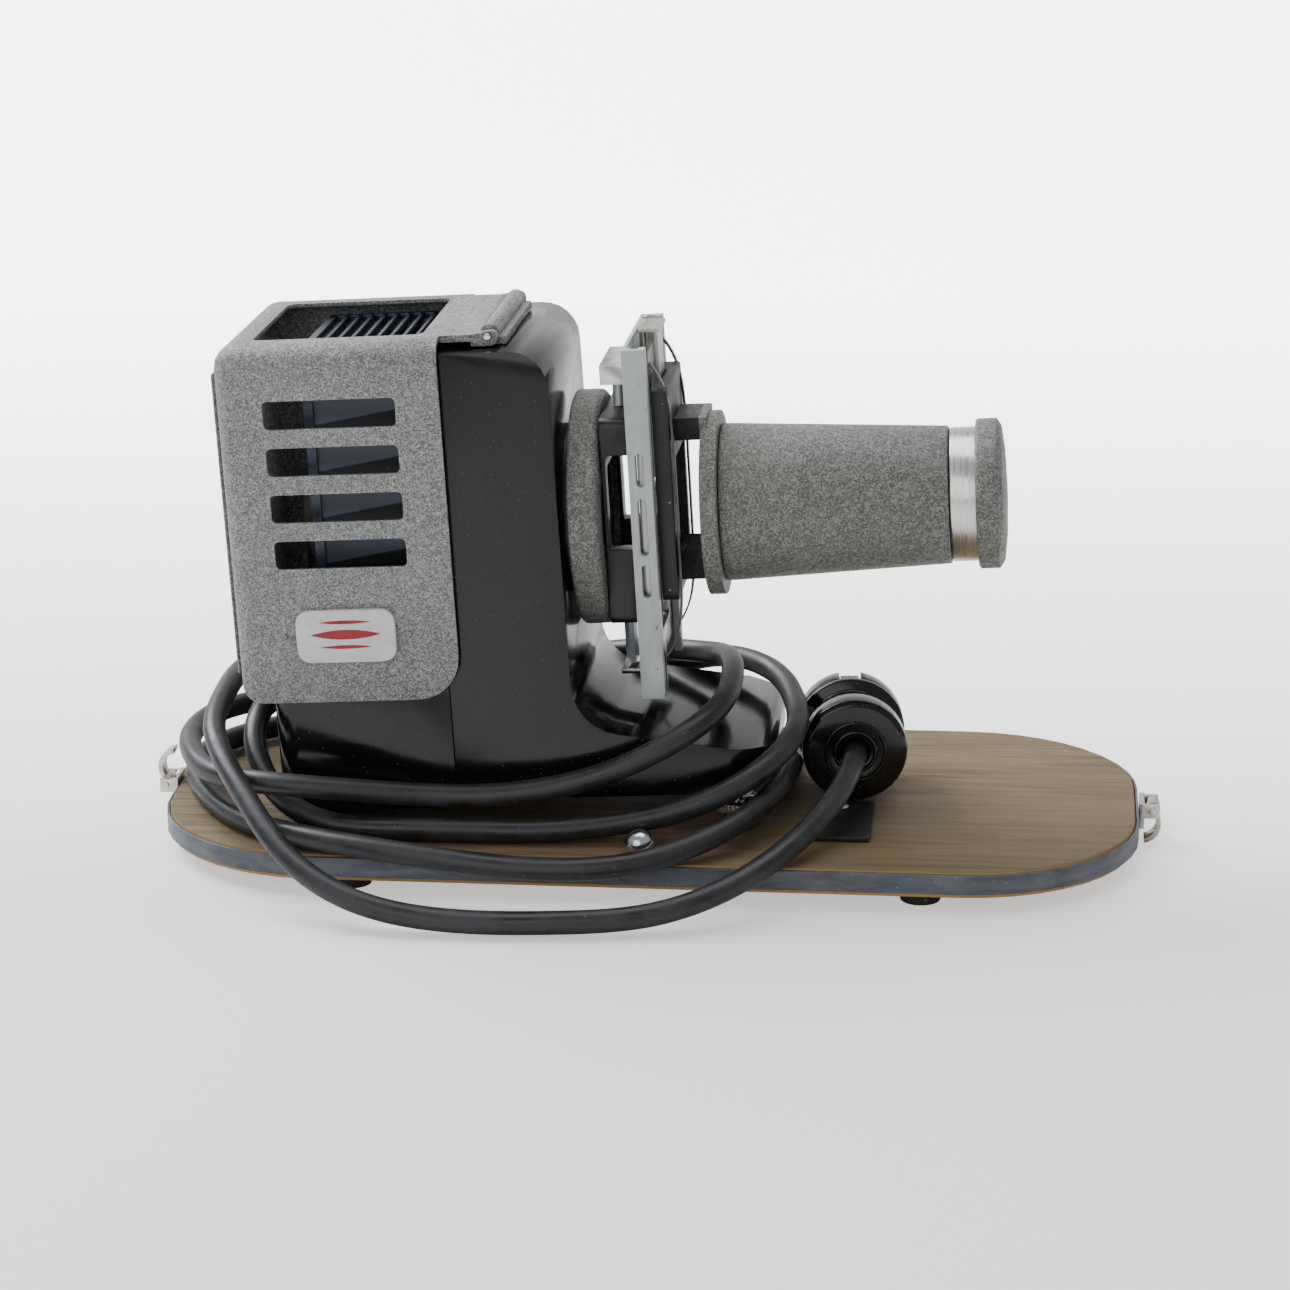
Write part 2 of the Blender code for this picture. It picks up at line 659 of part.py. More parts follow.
def front_casting(tilt):
    """Glossy black casting: the front of the lamp house and the long front shoe, hollow behind and below."""
    behind = SEAM_X - 15 * MM
    outline = rounded(
        [
            (behind, UNDERSIDE, 0),
            (SEAM_X + 14 * MM, UNDERSIDE, 8 * MM),
            (SEAM_X + 26 * MM, UNDERSIDE + ARCH_RISE, 8 * MM),
            (SHOE_X - 8 * MM, UNDERSIDE + ARCH_RISE, 4 * MM),
            (SHOE_X + 1 * MM, UNDERSIDE + 7 * MM, 5 * MM),
            (SHOE_X, SHOE_TIP_TOP, 6 * MM),
            (FRONT_X, SHOE_SLOPE_TOP + 4.4 * MM, SHOE_BLEND),
            (FRONT_X - 1 * MM, BODY_TOP, BODY_TOP_CORNER),
            (behind, BODY_TOP, 0),
        ],
        6,
    )
    casting = plate("front_casting", [outline], -HALF_WIDTH, HALF_WIDTH, "xz", "black_gloss", tilt)
    round_edges(casting, BODY_EDGE, 3)
    nose = plate(
        "shoe_nose", [rounded_rectangle(SHOE_X / 2 + 20 * MM, HALF_WIDTH + 1 * MM, SHOE_NOSE_RADIUS, 8,
                                        (SHOE_X / 2 - 20 * MM, 0))],
        -20 * MM, BODY_TOP + 20 * MM, "xy", None, tilt,
    )
    combine(casting, nose, "INTERSECT")
    inner = HALF_WIDTH - WALL
    seam = SEAM_X + GAP / 2
    cut(
        casting,
        box("seam_plane", (behind - 9 * MM, -60 * MM, -20 * MM), (seam, 60 * MM, BODY_TOP + 20 * MM),
            None, tilt),
        box("casting_hollow", (behind - 9 * MM, -inner, -10 * MM),
            (FRONT_X - 4.3 * MM, inner, BODY_TOP - WALL), None, tilt, 3 * MM),
    )
    stop = LEVEL_X - STUD_RADIUS - 6 * MM
    shoe_hollow = plate(
        "shoe_hollow",
        [[(SEAM_X + 5 * MM, -10 * MM), (stop, -10 * MM), (stop, SHOE_TIP_TOP - WALL + 2 * MM),
          (FRONT_X + 6 * MM, SHOE_SLOPE_TOP), (SEAM_X + 5 * MM, SHOE_SLOPE_TOP + 5 * MM)]],
        -inner, inner, "xz", None, tilt,
    )
    cut(casting, shoe_hollow)
    cut(
        casting,
        rod("neck_hole", (FRONT_X - 12 * MM, 0, AXIS_Z), (FRONT_X + 5 * MM, 0, AXIS_Z),
            NECK_RADIUS + GAP, None, tilt, segments=STEPS),
    )
    for side in (-1, 1):
        y = side * LEVEL_SPREAD
        cut(casting, rod("stud_bore", (LEVEL_X, y, -5 * MM), (LEVEL_X, y, STUD_TOP + 4 * MM),
                         STUD_RADIUS + 0.2 * MM, None, tilt, segments=16))


def rear_base(tilt):
    """Black box under the lamp house, open on top and to the front, with its chassis plate and rear feet."""
    length = SEAM_X - REAR_X + 15 * MM
    outline = rounded_rectangle(
        length / 2, HALF_WIDTH, REAR_CORNER, 6, (REAR_X + length / 2, 0)
    )
    base = plate("rear_base", [outline], UNDERSIDE, REAR_BASE_TOP, "xy", "black_gloss", tilt)
    inner = HALF_WIDTH - WALL
    seam = SEAM_X - GAP / 2
    cut(
        base,
        box("base_seam", (seam, -60 * MM, -20 * MM), (SEAM_X + 60 * MM, 60 * MM, 90 * MM), None, tilt),
        box("base_hollow", (REAR_X + WALL, -inner, UNDERSIDE + WALL),
            (SEAM_X + 30 * MM, inner, REAR_BASE_TOP + 20 * MM), None, tilt, 3 * MM),
        rod("inlet_hole", (REAR_X - 5 * MM, INLET_Y, INLET_Z), (REAR_X + 8 * MM, INLET_Y, INLET_Z),
            INLET_NECK + GAP, None, tilt),
    )
    chassis_low = UNDERSIDE + WALL + GAP
    box(
        "chassis_plate", (REAR_X + WALL + 4 * MM, -inner + 3.4 * MM, chassis_low),
        (FRONT_X - 8 * MM, inner - 3.4 * MM, chassis_low + CHASSIS_THICKNESS), "steel", tilt,
    )
    top = UNDERSIDE + 0.5 * MM
    for side, name in ((-1, "right"), (1, "left")):
        dome = [(top, 0), (top, REAR_FOOT_RADIUS), (top - 1.4 * MM, REAR_FOOT_RADIUS * 0.9),
                (top - 2.3 * MM, REAR_FOOT_RADIUS * 0.5), (UNDERSIDE - REAR_FOOT_HEIGHT, 0)]
        join(base, turned(f"rear_foot_{name}", dome, (REAR_FOOT_X, side * REAR_FOOT_SPREAD, 0), "z", None,
            tilt, 16))


def levelling_screw(tilt, side, name):
    """A knurled wheel on a stud that screws up into the shoe, in a cup on a rubber pad."""
    y = side * LEVEL_SPREAD
    travel = carrier_empty(f"{name}_level_travel", (LEVEL_X, y, WHEEL_TOP), tilt)
    turn = carrier_empty(f"{name}_level_turn", (LEVEL_X, y, WHEEL_TOP), travel)
    rim = []
    for k in range(WHEEL_TEETH):
        for share, radius in ((0.0, WHEEL_RADIUS), (0.5, WHEEL_RADIUS - 0.45 * MM)):
            a = 2 * math.pi * (k + share) / WHEEL_TEETH
            rim.append((LEVEL_X + radius * math.cos(a), y + radius * math.sin(a)))
    wheel = plate(f"{name}_level_wheel", [rim], WHEEL_TOP - WHEEL_THICKNESS, WHEEL_TOP, "xy", "chrome", turn)
    stud = rod(f"{name}_level_stud", (LEVEL_X, y, WHEEL_TOP - 1 * MM), (LEVEL_X, y, STUD_TOP),
               STUD_RADIUS, None, turn, segments=16)
    join(wheel, stud)
    cup_top = WHEEL_TOP - WHEEL_THICKNESS - GAP
    cup_bottom = cup_top - CUP_HEIGHT
    turned(
        f"{name}_level_pad",
        [(cup_top, 0), (cup_top, PAD_RADIUS * 0.8), (cup_bottom, PAD_RADIUS), (PAD_BOTTOM, PAD_RADIUS),
         (PAD_BOTTOM, 0)],
        (LEVEL_X, y, 0), "z", "rubber", travel, 24,
    )


def condenser(tilt):
    """The neck through the front wall with its two lenses, and the heat filter behind it."""
    axis = (0, 0, AXIS_Z)
    spigot_front = RING_X + RING_LENGTH - 2.4 * MM
    shoulder = RING_X - GAP
    turned(
        "condenser_neck",
        [(spigot_front, SPIGOT_RADIUS), (shoulder, SPIGOT_RADIUS), (shoulder, NECK_RADIUS),
         (NECK_REAR_X, NECK_RADIUS), (NECK_REAR_X, NECK_BORE), (spigot_front, NECK_BORE)],
        axis, "x", "black_paint", tilt,
    )
    rim = NECK_BORE - GAP
    rear = NECK_REAR_X + 3 * MM
    turned(
        "condenser_lens_rear",
        [(rear + 9 * MM, 0), (rear + 7.4 * MM, rim * 0.55), (rear + 3 * MM, rim), (rear, rim), (rear, 0)],
        axis, "x", "glass", tilt, 24,
    )
    front = rear + 12 * MM
    turned(
        "condenser_lens_front",
        [(front + 9 * MM, 0), (front + 9 * MM, rim), (front + 6 * MM, rim), (front + 1.6 * MM, rim * 0.55),
         (front, 0)],
        axis, "x", "glass", tilt, 24,
    )
    half = HEAT_GLASS_SIDE / 2
    box(
        "heat_filter", (HEAT_GLASS_X, -half, AXIS_Z - half),
        (HEAT_GLASS_X + HEAT_GLASS_THICKNESS, half, AXIS_Z + half), "glass", tilt,
    )
    holder = plate(
        "heat_filter_holder",
        [rounded_rectangle(half + 5 * MM, half + 5 * MM, 3 * MM, 3, (0, AXIS_Z)),
         rounded_rectangle(half - 3 * MM, half - 3 * MM, 3 * MM, 3, (0, AXIS_Z))],
        HEAT_GLASS_X - 1.5 * MM, HEAT_GLASS_X + HEAT_GLASS_THICKNESS + 2 * MM, "yz", "shield_steel", tilt,
    )
    leg = box("filter_leg", (HEAT_GLASS_X - 1.5 * MM, -12 * MM,
        UNDERSIDE + WALL + 2 * GAP + CHASSIS_THICKNESS),
              (HEAT_GLASS_X - 0.5 * MM, 12 * MM, AXIS_Z - half - 1 * MM), None, tilt)
    join(holder, leg)
    cut(
        holder,
        box("filter_groove", (HEAT_GLASS_X - GAP, -half - GAP, AXIS_Z - half - GAP),
            (HEAT_GLASS_X + HEAT_GLASS_THICKNESS + GAP, half + GAP, AXIS_Z + half + 9 * MM), None, tilt),
    )


def lamp_house(tilt):
    """Lamp on its socket, mirror on its stem, and the shields and vent grille round them."""
    floor = UNDERSIDE + WALL + GAP + CHASSIS_THICKNESS + GAP
    socket_top = AXIS_Z - 42 * MM
    turned(
        "lamp_socket",
        [(socket_top, SOCKET_RADIUS), (floor + 8 * MM, SOCKET_RADIUS), (floor + 8 * MM,
            SOCKET_RADIUS + 5 * MM),
         (floor, SOCKET_RADIUS + 5 * MM), (floor, SOCKET_RADIUS - 2 * MM), (socket_top,
             SOCKET_RADIUS - 2 * MM)],
        (LAMP_X, 0, 0), "z", "ceramic", tilt, 24,
    )
    cap_top = socket_top + 8 * MM
    cap_radius = SOCKET_RADIUS - 2 * MM - GAP
    bulb_low = cap_top
    bulb = [
        (floor + 14 * MM, 0), (floor + 14 * MM, cap_radius * 0.5), (floor + 18 * MM, cap_radius),
        (bulb_low + 6 * MM, cap_radius),
    ]
    centre = AXIS_Z
    for turn in range(-50, 91, 20):
        a = math.radians(turn)
        bulb.append((centre + LAMP_RADIUS * 1.3 * math.sin(a), LAMP_RADIUS * math.cos(a)))
    bulb[-1] = (centre + LAMP_RADIUS * 1.3, 0)
    turned("lamp", bulb[::-1], (LAMP_X, 0, 0), "z", "glass", tilt, 24)
    bowl = []
    sphere = REFLECTOR_RADIUS * 1.5
    for turn in (0, 10, 20, 30, 40):
        a = math.radians(turn)
        bowl.append((REFLECTOR_X + sphere * (1 - math.cos(a)), sphere * math.sin(a)))
    inside = [(along + 1 * MM, max(radius - 0.3 * MM, 0)) for along, radius in bowl]
    reflector = turned("reflector", inside + bowl[::-1], (0, 0, AXIS_Z), "x", "mirror", tilt, 24)
    stem = plate(
        "reflector_stem",
        [[(-5 * MM, floor), (5 * MM, floor), (5 * MM, AXIS_Z + 3 * MM), (-5 * MM, AXIS_Z + 3 * MM)]],
        REFLECTOR_X - 1.2 * MM, REFLECTOR_X + 0.4 * MM, "yz", None, tilt,
    )
    join(reflector, stem)
    for side, name in ((-1, "right"), (1, "left")):
        y = side * POST_Y
        post = box(
            f"shield_post_{name}", (POST_X, y - 1.5 * MM, floor), (POST_X + 3 * MM, y + 1.5 * MM,
                SHIELD_TOP - 2.3 * MM),
            None, tilt,
        )
        lean = 0.18
        sheet = plate(
            f"heat_shield_{name}",
            [[(POST_X + 1 * MM, floor), (SHIELD_FRONT_X, floor), (SHIELD_FRONT_X, SHIELD_TOP - 3 * MM),
              (POST_X + 1 * MM, SHIELD_TOP - 3 * MM)]],
            y - 0.6 * MM, y + 0.6 * MM, "xz", "shield_steel", tilt,
        )
        join(sheet, post)
        for k in range(SLOT_COUNT):
            low = SLOT_TOP - SLOT_HEIGHT - k * SLOT_PITCH - 2 * MM
            rise = lean * (SHIELD_FRONT_X - POST_X - 12 * MM)
            opening = plate(
                f"shield_opening_{name}_{k}",
                [[(POST_X + 8 * MM, low), (SHIELD_FRONT_X - 4 * MM, low + rise),
                  (SHIELD_FRONT_X - 4 * MM, low + rise + 3.4 * MM), (POST_X + 8 * MM, low + 3.4 * MM)]],
                y - 3 * MM, y + 3 * MM, "xz", None, tilt,
            )
            cut(sheet, opening)
    grille_low = SHIELD_TOP - 2 * MM
    rear = VENT_REAR_X + 13 * MM
    front = VENT_FRONT_X
    half = VENT_HALF_WIDTH + 4 * MM
    windows = []
    slats = 9
    pitch = (front - rear - 4 * MM) / slats
    for k in range(slats):
        low_x = rear + 2 * MM + k * pitch
        windows.append(
            [(low_x + 0.6 * MM, -half + 2 * MM), (low_x + pitch - 0.6 * MM, -half + 2 * MM),
             (low_x + pitch - 0.6 * MM, half - 2 * MM), (low_x + 0.6 * MM, half - 2 * MM)]
        )
    outline = [(rear, -half), (front, -half), (front, half), (rear, half)]
    plate("vent_grille", [outline] + windows, grille_low, grille_low + 2.2 * MM, "xy", "shield_steel", tilt)


def lamp_cover(tilt):
    """Wrinkle-painted cover that hinges up at the top front, with its rear panel and blank nameplate."""
    hinge = carrier_empty("cover_hinge_axis", (HINGE_X, 0, HINGE_Z), tilt)
    beyond = 20 * MM
    cover = box(
        "lamp_cover", (COVER_REAR_X, -COVER_HALF_WIDTH, COVER_BOTTOM - beyond),
        (COVER_FRONT_X + beyond, COVER_HALF_WIDTH, COVER_TOP), "grey_wrinkle", hinge, COVER_EDGE, 4,
    )
    cut(
        cover,
        box("cover_hollow", (COVER_REAR_X + COVER_WALL, -COVER_HALF_WIDTH + COVER_WALL,
            COVER_BOTTOM - 2 * beyond),
            (COVER_FRONT_X + 2 * beyond, COVER_HALF_WIDTH - COVER_WALL, COVER_TOP - COVER_WALL),
            None, hinge, COVER_EDGE - COVER_WALL, 4),
    )
    side_view = plate(
        "cover_outline",
        [rounded([(COVER_REAR_X - 1 * MM, COVER_BOTTOM, 9 * MM), (COVER_FRONT_X, COVER_BOTTOM,
            COVER_FRONT_CORNER),
                  (COVER_FRONT_X, COVER_TOP + 1 * MM, 0), (COVER_REAR_X - 1 * MM, COVER_TOP + 1 * MM, 0)],
                      6)],
        -60 * MM, 60 * MM, "xz", None, hinge,
    )
    combine(cover, side_view, "INTERSECT")
    for k in range(SLOT_COUNT):
        top = SLOT_TOP - k * SLOT_PITCH
        slot = plate(
            f"side_slot_{k}",
            [rounded_rectangle(SLOT_LENGTH / 2, SLOT_HEIGHT / 2, 1.6 * MM, 3,
                               (SLOT_REAR_X + SLOT_LENGTH / 2, top - SLOT_HEIGHT / 2))],
            -60 * MM, 60 * MM, "xz", None, hinge,
        )
        cut(cover, slot)
    vent = plate(
        "vent_opening",
        [rounded_rectangle((VENT_FRONT_X - VENT_REAR_X) / 2, VENT_HALF_WIDTH, 3 * MM, 3,
                           ((VENT_FRONT_X + VENT_REAR_X) / 2, 0))],
        COVER_TOP - 4 * MM, COVER_TOP + 4 * MM, "xy", None, hinge,
    )
    cut(cover, vent)
    tongue = box(
        "cover_tongue", (COVER_FRONT_X - 4 * MM, -TONGUE_HALF_WIDTH, COVER_TOP - TONGUE_THICKNESS),
        (TONGUE_FRONT_X, TONGUE_HALF_WIDTH, COVER_TOP), None, hinge,
    )
    join(cover, tongue)
    for side in (-1, 1):
        ear_low, ear_high = sorted((side * (KNUCKLE_HALF + GAP), side * TONGUE_HALF_WIDTH))
        ear = plate(
            "cover_ear",
            [rounded([(TONGUE_FRONT_X - 2 * MM, COVER_TOP - TONGUE_THICKNESS - 1.5 * MM, 0),
                      (HINGE_X + 2.8 * MM, COVER_TOP - TONGUE_THICKNESS - 1.5 * MM, 2 * MM),
                      (HINGE_X + 2.8 * MM, COVER_TOP + 1.2 * MM, 2 * MM),
                      (TONGUE_FRONT_X - 2 * MM, COVER_TOP, 0)], 4)],
            ear_low, ear_high, "xz", None, hinge,
        )
        join(cover, ear)
    cut(cover, rod("ear_bore", (HINGE_X, -60 * MM, HINGE_Z), (HINGE_X, 60 * MM, HINGE_Z),
                   HINGE_PIN_RADIUS + 0.2 * MM, None, hinge, segments=16))
    half_panel = COVER_HALF_WIDTH - COVER_EDGE
    box(
        "cover_rear_panel", (COVER_REAR_X - GAP - 1.2 * MM, -half_panel, COVER_BOTTOM + 8 * MM),
        (COVER_REAR_X - GAP, half_panel, COVER_TOP - COVER_EDGE - 2 * MM), "grey_wrinkle", hinge,
            0.5 * MM, 1,
    )
    face = -COVER_HALF_WIDTH - GAP
    outline = rounded_rectangle(
        NAMEPLATE_LENGTH / 2, NAMEPLATE_HEIGHT / 2, 4.5 * MM, 5, (NAMEPLATE_X, NAMEPLATE_Z)
    )
    badge = plate("nameplate", [outline], face - NAMEPLATE_THICKNESS, face, "xz", "enamel", hinge)
    round_edges(badge, 0.4 * MM, 1)
    for side, name in ((-1, "rear"), (1, "front")):
        x = NAMEPLATE_X + side * NAMEPLATE_PIN_SPREAD
        pin = rod(f"nameplate_pin_{name}", (x, face + 1 * MM, NAMEPLATE_Z), (x, face - 0.9 * MM,
            NAMEPLATE_Z),
                  1.4 * MM, None, hinge, 0.9 * MM, 12)
        join(cover, pin)


def hinge_knuckle(tilt):
    """The rolled knuckle on top of the casting, with the pin that the cover swings on."""
    roll = rod("hinge_knuckle", (HINGE_X, -KNUCKLE_HALF, HINGE_Z), (HINGE_X, KNUCKLE_HALF, HINGE_Z),
               KNUCKLE_RADIUS, "grey_wrinkle", tilt)
    leaf = box("hinge_leaf", (HINGE_X, -KNUCKLE_HALF, BODY_TOP + GAP),
               (HINGE_X + 5 * MM, KNUCKLE_HALF, HINGE_Z - 1.2 * MM), None, tilt)
    join(roll, leaf)
    cut(roll, rod("knuckle_bore", (HINGE_X, -60 * MM, HINGE_Z), (HINGE_X, 60 * MM, HINGE_Z),
                  HINGE_PIN_RADIUS + 0.1 * MM, None, tilt, segments=16))
    half = TONGUE_HALF_WIDTH + 1.2 * MM
    rod("hinge_pin", (HINGE_X, -half, HINGE_Z), (HINGE_X, half, HINGE_Z), HINGE_PIN_RADIUS, "chrome", tilt,
        segments=16)


def turning_ring(unit):
    """The dark ring that turns on the condenser's spigot, so that the slide changer can stand either way."""
    bore = SPIGOT_RADIUS + GAP
    front = RING_X + RING_LENGTH
    turned(
        "turning_ring",
        [(front, RING_RADIUS - RING_CHAMFER), (front - RING_CHAMFER, RING_RADIUS),
         (RING_X + 0.8 * MM, RING_RADIUS), (RING_X, RING_RADIUS - 0.8 * MM), (RING_X, bore), (front, bore)],
        (0, 0, AXIS_Z), "x", "dark_wrinkle", unit,
    )


def slide_gate(unit):
    """Dark gate blocks above and below the light path, with their catches and leaf strips."""
    rear = GATE_REAR_X
    front = FRAME_REAR_X - GAP
    half = GATE_WINDOW / 2
    gate = plate(
        "slide_gate",
        [rounded_rectangle(GATE_HALF_WIDTH, GATE_REACH, 3 * MM, 3, (0, AXIS_Z)),
         rounded_rectangle(half, half, 2 * MM, 2, (0, AXIS_Z))],
        rear, front, "yz", "dark_wrinkle", unit,
    )
    cut(gate, box("gate_side_opening", (rear + 1.2 * MM, -60 * MM, AXIS_Z - GATE_OPENING_BELOW),
                  (front + 9 * MM, 60 * MM, AXIS_Z + GATE_OPENING_ABOVE), None, unit))
    top = AXIS_Z + GATE_REACH + GAP
    strip_top = AXIS_Z + CATCH_REACH - 2.5 * MM
    join(gate, box("upper_leaf", (rear + 3 * MM, -5 * MM, top - 3 * MM), (rear + 6 * MM, 5 * MM, strip_top),
                   None, unit))
    catch_low = AXIS_Z + CATCH_REACH - 0.7 * MM
    catch = box("upper_catch", (rear + 1 * MM, -20 * MM, catch_low),
                (FRAME_REAR_X - GAP, 10 * MM, catch_low + 1.4 * MM), "chrome", unit)
    lip = box("upper_catch_lip", (rear + 1 * MM, -20 * MM, catch_low - 5 * MM),
              (FRAME_REAR_X - GAP, -18.8 * MM, catch_low + 1 * MM), None, unit)
    tab = box("upper_catch_tab", (rear + 6.6 * MM, -5 * MM, top),
              (rear + 7.8 * MM, 5 * MM, catch_low + 1 * MM), None, unit)
    join(catch, lip, tab)
    bottom = AXIS_Z - GATE_REACH - GAP
    hook_low = AXIS_Z - CATCH_REACH - 5 * MM
    join(gate, box("lower_leaf", (rear + 2 * MM, -5 * MM, hook_low + 2.6 * MM),
                   (rear + 5 * MM, 5 * MM, bottom + 3 * MM), None, unit))
    hook = box("lower_catch", (rear + 0.5 * MM, -8 * MM, hook_low),
               (FRAME_REAR_X - GAP, 8 * MM, hook_low + 1.4 * MM), "chrome", unit)
    back = box("lower_catch_back", (FRAME_REAR_X - GAP - 1.2 * MM, -8 * MM, hook_low),
               (FRAME_REAR_X - GAP, 8 * MM, bottom), None, unit)
    join(hook, back)


def slide_changer(unit):
    """Ladder frame with grooved rails, the carriage with its two slide windows, thumb tab and stop pin."""
    rear = FRAME_REAR_X
    front = rear + FRAME_DEPTH
    inner = FRAME_HALF_WIDTH - RAIL_WIDTH
    low = AXIS_Z - FRAME_HALF_HEIGHT
    high = AXIS_Z + FRAME_HALF_HEIGHT
    frame = box("changer_frame", (rear, -FRAME_HALF_WIDTH, low), (front, FRAME_HALF_WIDTH, high),
                "pale_paint", unit)
    slot_middle = rear + FRAME_DEPTH / 2
    groove = CARRIAGE_THICKNESS / 2 + 0.25 * MM
    bridge = rear + 1.2 * MM
    cut(
        frame,
        box("rail_opening", (bridge, -inner, low - 9 * MM), (front + 9 * MM, inner, high + 9 * MM), None,
            unit),
        box("bridge_opening", (rear - 9 * MM, -inner, AXIS_Z - 44 * MM),
            (front + 9 * MM, inner, AXIS_Z + 44 * MM), None, unit),
        box("rail_groove", (slot_middle - groove, -inner - 2.4 * MM, low - 9 * MM),
            (slot_middle + groove, inner + 2.4 * MM, high + 9 * MM), None, unit),
    )
    for side in (-1, 1):
        for middle, length in RAIL_SLOTS:
            slot = plate(
                "rail_slot",
                [rounded_rectangle(RAIL_SLOT_WIDTH / 2, length / 2, RAIL_SLOT_WIDTH * 0.49, 4,
                                   (slot_middle, AXIS_Z + middle))],
                min(side * inner * 0.9, side * 60 * MM), max(side * inner * 0.9, side * 60 * MM), "xz",
                    None, unit,
            )
            cut(frame, slot)
    travel = carrier_empty("carriage_travel", (slot_middle, 0, AXIS_Z), unit)
    half = CARRIAGE_THICKNESS / 2
    windows = [
        rounded_rectangle(SLIDE_WINDOW / 2, SLIDE_WINDOW / 2, 2 * MM, 2, (0, AXIS_Z + k * SLIDE_PITCH / 2))
        for k in (-1, 1)
    ]
    outline = rounded_rectangle(inner + 2 * MM, CARRIAGE_HALF_HEIGHT, 2 * MM, 2, (0, AXIS_Z))
    carriage = plate(
        "slide_carriage", [outline] + windows, slot_middle - half, slot_middle + half, "yz", "steel", travel
    )
    blade_rear = front + GAP
    blade_top = high + THUMB_TOP - THUMB_THICKNESS
    top_edge = AXIS_Z + CARRIAGE_HALF_HEIGHT
    tab = box("thumb_tab", (blade_rear, -7 * MM, top_edge - 8 * MM),
              (blade_rear + 1.6 * MM, 7 * MM, blade_top + 0.6 * MM), None, travel)
    pad = box("thumb_pad", (front - 4.6 * MM, -THUMB_HALF_WIDTH, blade_top),
              (front + 3 * MM, THUMB_HALF_WIDTH, high + THUMB_TOP), None, travel)
    stem = rod("thumb_rod", (slot_middle, 0, top_edge - 3 * MM), (slot_middle, 0, blade_top + 0.6 * MM),
        1.2 * MM,
               None, travel, segments=16)
    stop = rod("carriage_stop_pin", (slot_middle, 0, low - 5.8 * MM),
               (slot_middle, 0, AXIS_Z - CARRIAGE_HALF_HEIGHT + 3 * MM), 1.5 * MM, None, travel, segments=16)
    join(carriage, tab, pad, stem, stop)
    guide_rear = front + GAP
    guide = plate(
        "guide_plate",
        [rounded_rectangle(GUIDE_HALF_WIDTH, GUIDE_HALF_HEIGHT, 3 * MM, 3, (0, AXIS_Z + 8 * MM)),
         rounded_rectangle(GATE_WINDOW / 2, GATE_WINDOW / 2, 2 * MM, 2, (0, AXIS_Z))],
        guide_rear, GUIDE_FRONT_X, "yz", "black_paint", unit,
    )
    cut(guide, box("tab_clearance", (guide_rear - 9 * MM, -8 * MM, top_edge - 9 * MM),
                   (blade_rear + 2.2 * MM, 8 * MM, high + 9 * MM), None, unit))
    for side, name in ((1, "upper"), (-1, "lower")):
        start = AXIS_Z + side * 51 * MM
        foot = AXIS_Z + (GUIDE_HALF_HEIGHT + 8 * MM if side > 0 else -GUIDE_HALF_HEIGHT + 8 * MM)
        spring_x = front + GAP
        strip = [
            (spring_x, start), (spring_x + 3.4 * MM, (start + foot) / 2), (spring_x + 2 * MM,
                foot + side * GAP),
            (spring_x + 2.8 * MM, foot + side * GAP), (spring_x + 4.3 * MM, (start + foot) / 2),
            (spring_x + 0.8 * MM, start),
        ]
        plate(f"{name}_slide_spring", [strip], 12 * MM, 18 * MM, "xz", "steel", unit)


